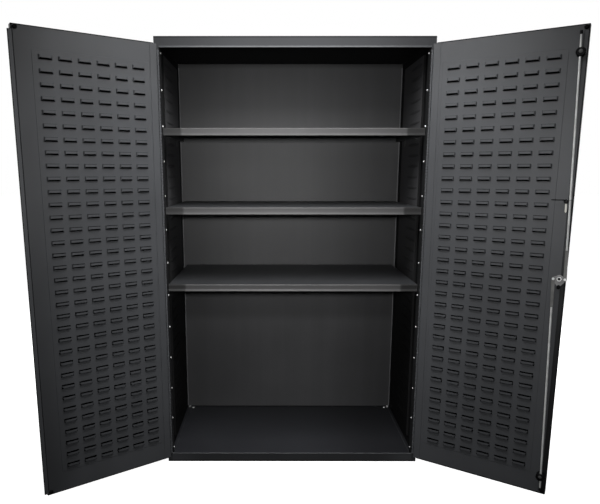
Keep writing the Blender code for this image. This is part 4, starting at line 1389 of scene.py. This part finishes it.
class CABINET_OT_lock(bpy.types.Operator):
    """Finish the latch cam, rods, guides, handle and lock"""

    bl_idname = "cabinet.lock"
    bl_label = "Lock"

    def execute(self, context):
        for node, finish, body, slot, width in (
            ("upper_rod_guide", "black_plastic", "right_door", "black_plastic", 0.0006),
            ("lower_rod_guide", "black_plastic", "right_door", "black_plastic", 0.0006),
            ("spindle_bush", "plate_steel", "right_door", "zinc", 0.0004),
            ("handle_escutcheon", "black_plastic", "right_door", "black_plastic", 0.0009),
            ("handle_lever", "black_plastic", "handle", "black_plastic", 0.0012),
            ("latch_cam", "plate_steel", "handle", "zinc", 0.0006),
            ("nose_shoe", "black_plastic", "handle", "black_plastic", 0.0008),
            ("spindle_nut", "rivet_steel", "handle", "zinc", 0.0005),
            ("upper_pivot_pin", "rivet_steel", "handle", "zinc", 0.0006),
            ("lower_pivot_pin", "rivet_steel", "handle", "zinc", 0.0006),
            ("lock_cylinder", "rod_steel", "handle", "zinc", 0.0004),
            ("lock_plug", "brass", "lock_plug", "brass", 0.0003),
            ("upper_rod", ["rod_steel", "flat_steel"], "upper_rod", "zinc", 0.0004),
            ("lower_rod", ["rod_steel", "flat_steel"], "lower_rod", "zinc", 0.0004),
            ("upper_rod_tip", "black_plastic", "upper_rod", "black_plastic", 0.0003),
            ("lower_rod_tip", "black_plastic", "lower_rod", "black_plastic", 0.0003),
        ):
            refined(node, finish, body, width, self.is_flat)
        self.guide_caps(RIGHT_DOOR)
        return {"FINISHED"}

    def is_flat(self, centre, normal):
        """True near the spindle, where the rods are flattened."""
        reach = 0.135
        low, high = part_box("spindle_nut")
        return abs(centre.z - (low.z + high.z) / 2) < reach

    def guide_caps(self, door):
        """Dark grey rivet heads in the rod guides, a little over their middle."""
        lift = 0.002
        sunk_in = 0.0002
        head = dome(height=0.0026, foot=0.0084, sunk=0.0090, radius=0.0116, start=75, end=46, steps=5)
        caps = []
        for node in ("upper_rod_guide", "lower_rod_guide"):
            low, high = door.span(node)
            middle = (low + high) / 2
            place = Matrix.Translation((middle.x, high.y - sunk_in, middle.z + lift))
            caps.append(lathe(head, sides=20, matrix=place @ OUT_OF_DOOR))
        obj = scratch_object("rod_guide_caps", door.place(joined("caps", caps)))
        piece(obj, "clip_steel", door.body, angle=60.0)


class CABINET_OT_key(bpy.types.Operator):
    """Finish the key and the tie that holds it"""

    bl_idname = "cabinet.key"
    bl_label = "Key"

    def execute(self, context):
        refined("key", ["nickel", "key_cover"], "upper_rod", 0.0003, self.is_head)
        refined("key_tie", "black_plastic", "upper_rod", 0.0001)
        self.tie_tail(RIGHT_DOOR)
        return {"FINISHED"}

    def is_head(self, centre, normal):
        """True for the flat faces of the key's head, which has a dark cover."""
        head = 0.0185
        is_flat = abs(normal.dot(RIGHT_DOOR.inward)) > 0.7
        return is_flat and centre.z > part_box("key")[1].z - head

    def tie_tail(self, door):
        """Loose end of the tie, which lies across the door."""
        length = 0.052
        overlap = 0.006
        half_width = 0.0018
        off = 0.0215
        thickness = 0.0012
        low, high = door.span("key_tie")
        height = (low.z + high.z) / 2
        start = (low.x - length, off, height - half_width)
        tail = cuboid(start, (low.x + overlap, off + thickness, height + half_width))
        obj = rounded("key_tie_tail", door.place(tail), width=0.0004)
        piece(obj, "black_plastic", "upper_rod", angle=None)


# Stage


def studio_floor():
    """Floor paint: white to the camera, dark to the light that bounces off it."""
    look = Look("studio_floor", specular=0.0)
    path = look.node("ShaderNodeLightPath", "Is Camera Ray")
    distance = look.node("ShaderNodeVectorMath", "Value", {0: look.position}, operation="LENGTH")
    seen = look.mix(look.noise(scale=3.0, detail=2.0), grey(0.80), grey(0.84))
    glow = distance.between(0.8, 2.4, 0.72, 1.0) * path
    look.put(
        Base_Color=look.mix(path, grey(0.05), seen),
        Roughness=0.9,
        Emission_Color=look.node("ShaderNodeCombineColor", 0, {"Red": glow, "Green": glow, "Blue": glow}),
        Emission_Strength=1.0,
    )
    return look.material


def softbox(name, place, target, size, power, spread=180.0):
    """A rectangular area light turned towards a point, with the spread of its light in degrees."""
    light = bpy.data.lights.new(name, "AREA")
    light.shape = "RECTANGLE"
    light.size, light.size_y = size
    light.energy = power
    light.spread = math.radians(spread)
    obj = bpy.data.objects.new(name, light)
    obj.location = place
    aim = Vector(target) - Vector(place)
    obj.rotation_euler = aim.to_track_quat("-Z", "Y").to_euler()
    obj.visible_camera = False
    bpy.context.scene.collection.objects.link(obj)


class CABINET_OT_stage(bpy.types.Operator):
    """Set up the camera, the lights, the floor and the white surround"""

    bl_idname = "cabinet.stage"
    bl_label = "Stage"

    def execute(self, context):
        scene = context.scene
        self.camera(scene, settings().stage)
        self.floor()
        self.surround(scene)
        self.lights(settings().stage)
        scene.view_settings.view_transform = "Standard"
        return {"FINISHED"}

    def lights(self, stage):
        """Softboxes over, before, behind and beside the cabinet."""
        for name, place, target, size, power, spread in (
            ("key_softbox", (0.0, -0.95, 2.35), (0.0, -0.3, 0.4), (1.16, 0.8), stage.key_power, 131.0),
            ("front_softbox", (-0.1, -2.8, 1.51), (0.0, 0.0, 0.85), (0.8, 0.12), stage.fill_power, 85.0),
            ("rear_softbox", (0.0, 3.2, 2.4), (0.0, 0.3, 1.0), (2.4, 1.2), stage.rear_power, 180.0),
        ):
            softbox(name, place, target, size, power, spread)
        for name, side in SIDES:
            place = (side * 3.0, 1.6, 2.0)
            softbox(name + "_softbox", place, (side * 0.7, 0.1, 1.0), (1.4, 1.4), stage.side_power)

    def camera(self, scene, stage):
        """Camera at the angle of the photograph."""
        lens = bpy.data.cameras.new("camera")
        lens.lens = stage.focal_length
        lens.sensor_width = 36.0
        lens.sensor_fit = "HORIZONTAL"
        lens.shift_x = stage.shift_x
        lens.shift_y = stage.shift_y
        lens.clip_end = 200.0
        obj = bpy.data.objects.new("camera", lens)
        obj.location = stage.position
        obj.rotation_euler = (math.radians(90) - stage.pitch, 0.0, stage.yaw)
        scene.collection.objects.link(obj)
        scene.camera = obj

    def floor(self):
        """Pale floor that catches the shadow."""
        bm = bmesh.new()
        bmesh.ops.create_grid(bm, x_segments=1, y_segments=1, size=30.0)
        obj = scratch_object("studio_floor", bm)
        obj.data.materials.append(studio_floor())

    def surround(self, scene):
        """White to the camera, dim grey to everything else."""
        world = bpy.data.worlds.new("surround")
        world.use_nodes = True
        tree = world.node_tree
        path = Sock(tree, tree.nodes.new("ShaderNodeLightPath").outputs["Is Camera Ray"])
        colour = mix_colours(tree, path, (0.015, 0.015, 0.016, 1.0), grey(1.0))
        feed(tree, tree.nodes["Background"].inputs["Color"], colour)
        scene.world = world


class CABINET_PT_panel(bpy.types.Panel):
    """Sidebar panel with the settings and the build steps"""

    bl_idname = "CABINET_PT_panel"
    bl_label = "Locking shelf cabinet"
    bl_space_type = "VIEW_3D"
    bl_region_type = "UI"
    bl_category = "Cabinet"

    def draw(self, context):
        layout = self.layout
        cabinet = context.scene.cabinet
        for group in (cabinet.louver, cabinet.hinge, cabinet.paint, cabinet.stage):
            box = layout.box()
            for name in group.bl_rna.properties.keys():
                if name not in ("rna_type", "name"):
                    box.prop(group, name)
        for operator in OPERATORS:
            layout.operator(operator.bl_idname)


OPERATORS = (
    CABINET_OT_case,
    CABINET_OT_shelves,
    CABINET_OT_doors,
    CABINET_OT_louvers,
    CABINET_OT_hinges,
    CABINET_OT_bumpers,
    CABINET_OT_lock,
    CABINET_OT_key,
    CABINET_OT_stage,
)
CLASSES = (
    LouverSettings,
    HingeSettings,
    PaintSettings,
    StageSettings,
    CabinetSettings,
    *OPERATORS,
    CABINET_PT_panel,
)


def register():
    """Register the settings, the operators and the panel."""
    for cls in CLASSES:
        bpy.utils.register_class(cls)
    bpy.types.Scene.cabinet = bpy.props.PointerProperty(type=CabinetSettings)


def unregister():
    """Take away what register added."""
    del bpy.types.Scene.cabinet
    for cls in reversed(CLASSES):
        bpy.utils.unregister_class(cls)


def main():
    """Build every piece."""
    register()
    bpy.ops.cabinet.case()
    bpy.ops.cabinet.shelves()
    bpy.ops.cabinet.doors()
    bpy.ops.cabinet.louvers()
    bpy.ops.cabinet.hinges()
    bpy.ops.cabinet.bumpers()
    bpy.ops.cabinet.lock()
    bpy.ops.cabinet.key()
    bpy.ops.cabinet.stage()


if __name__ == "__main__":
    main()
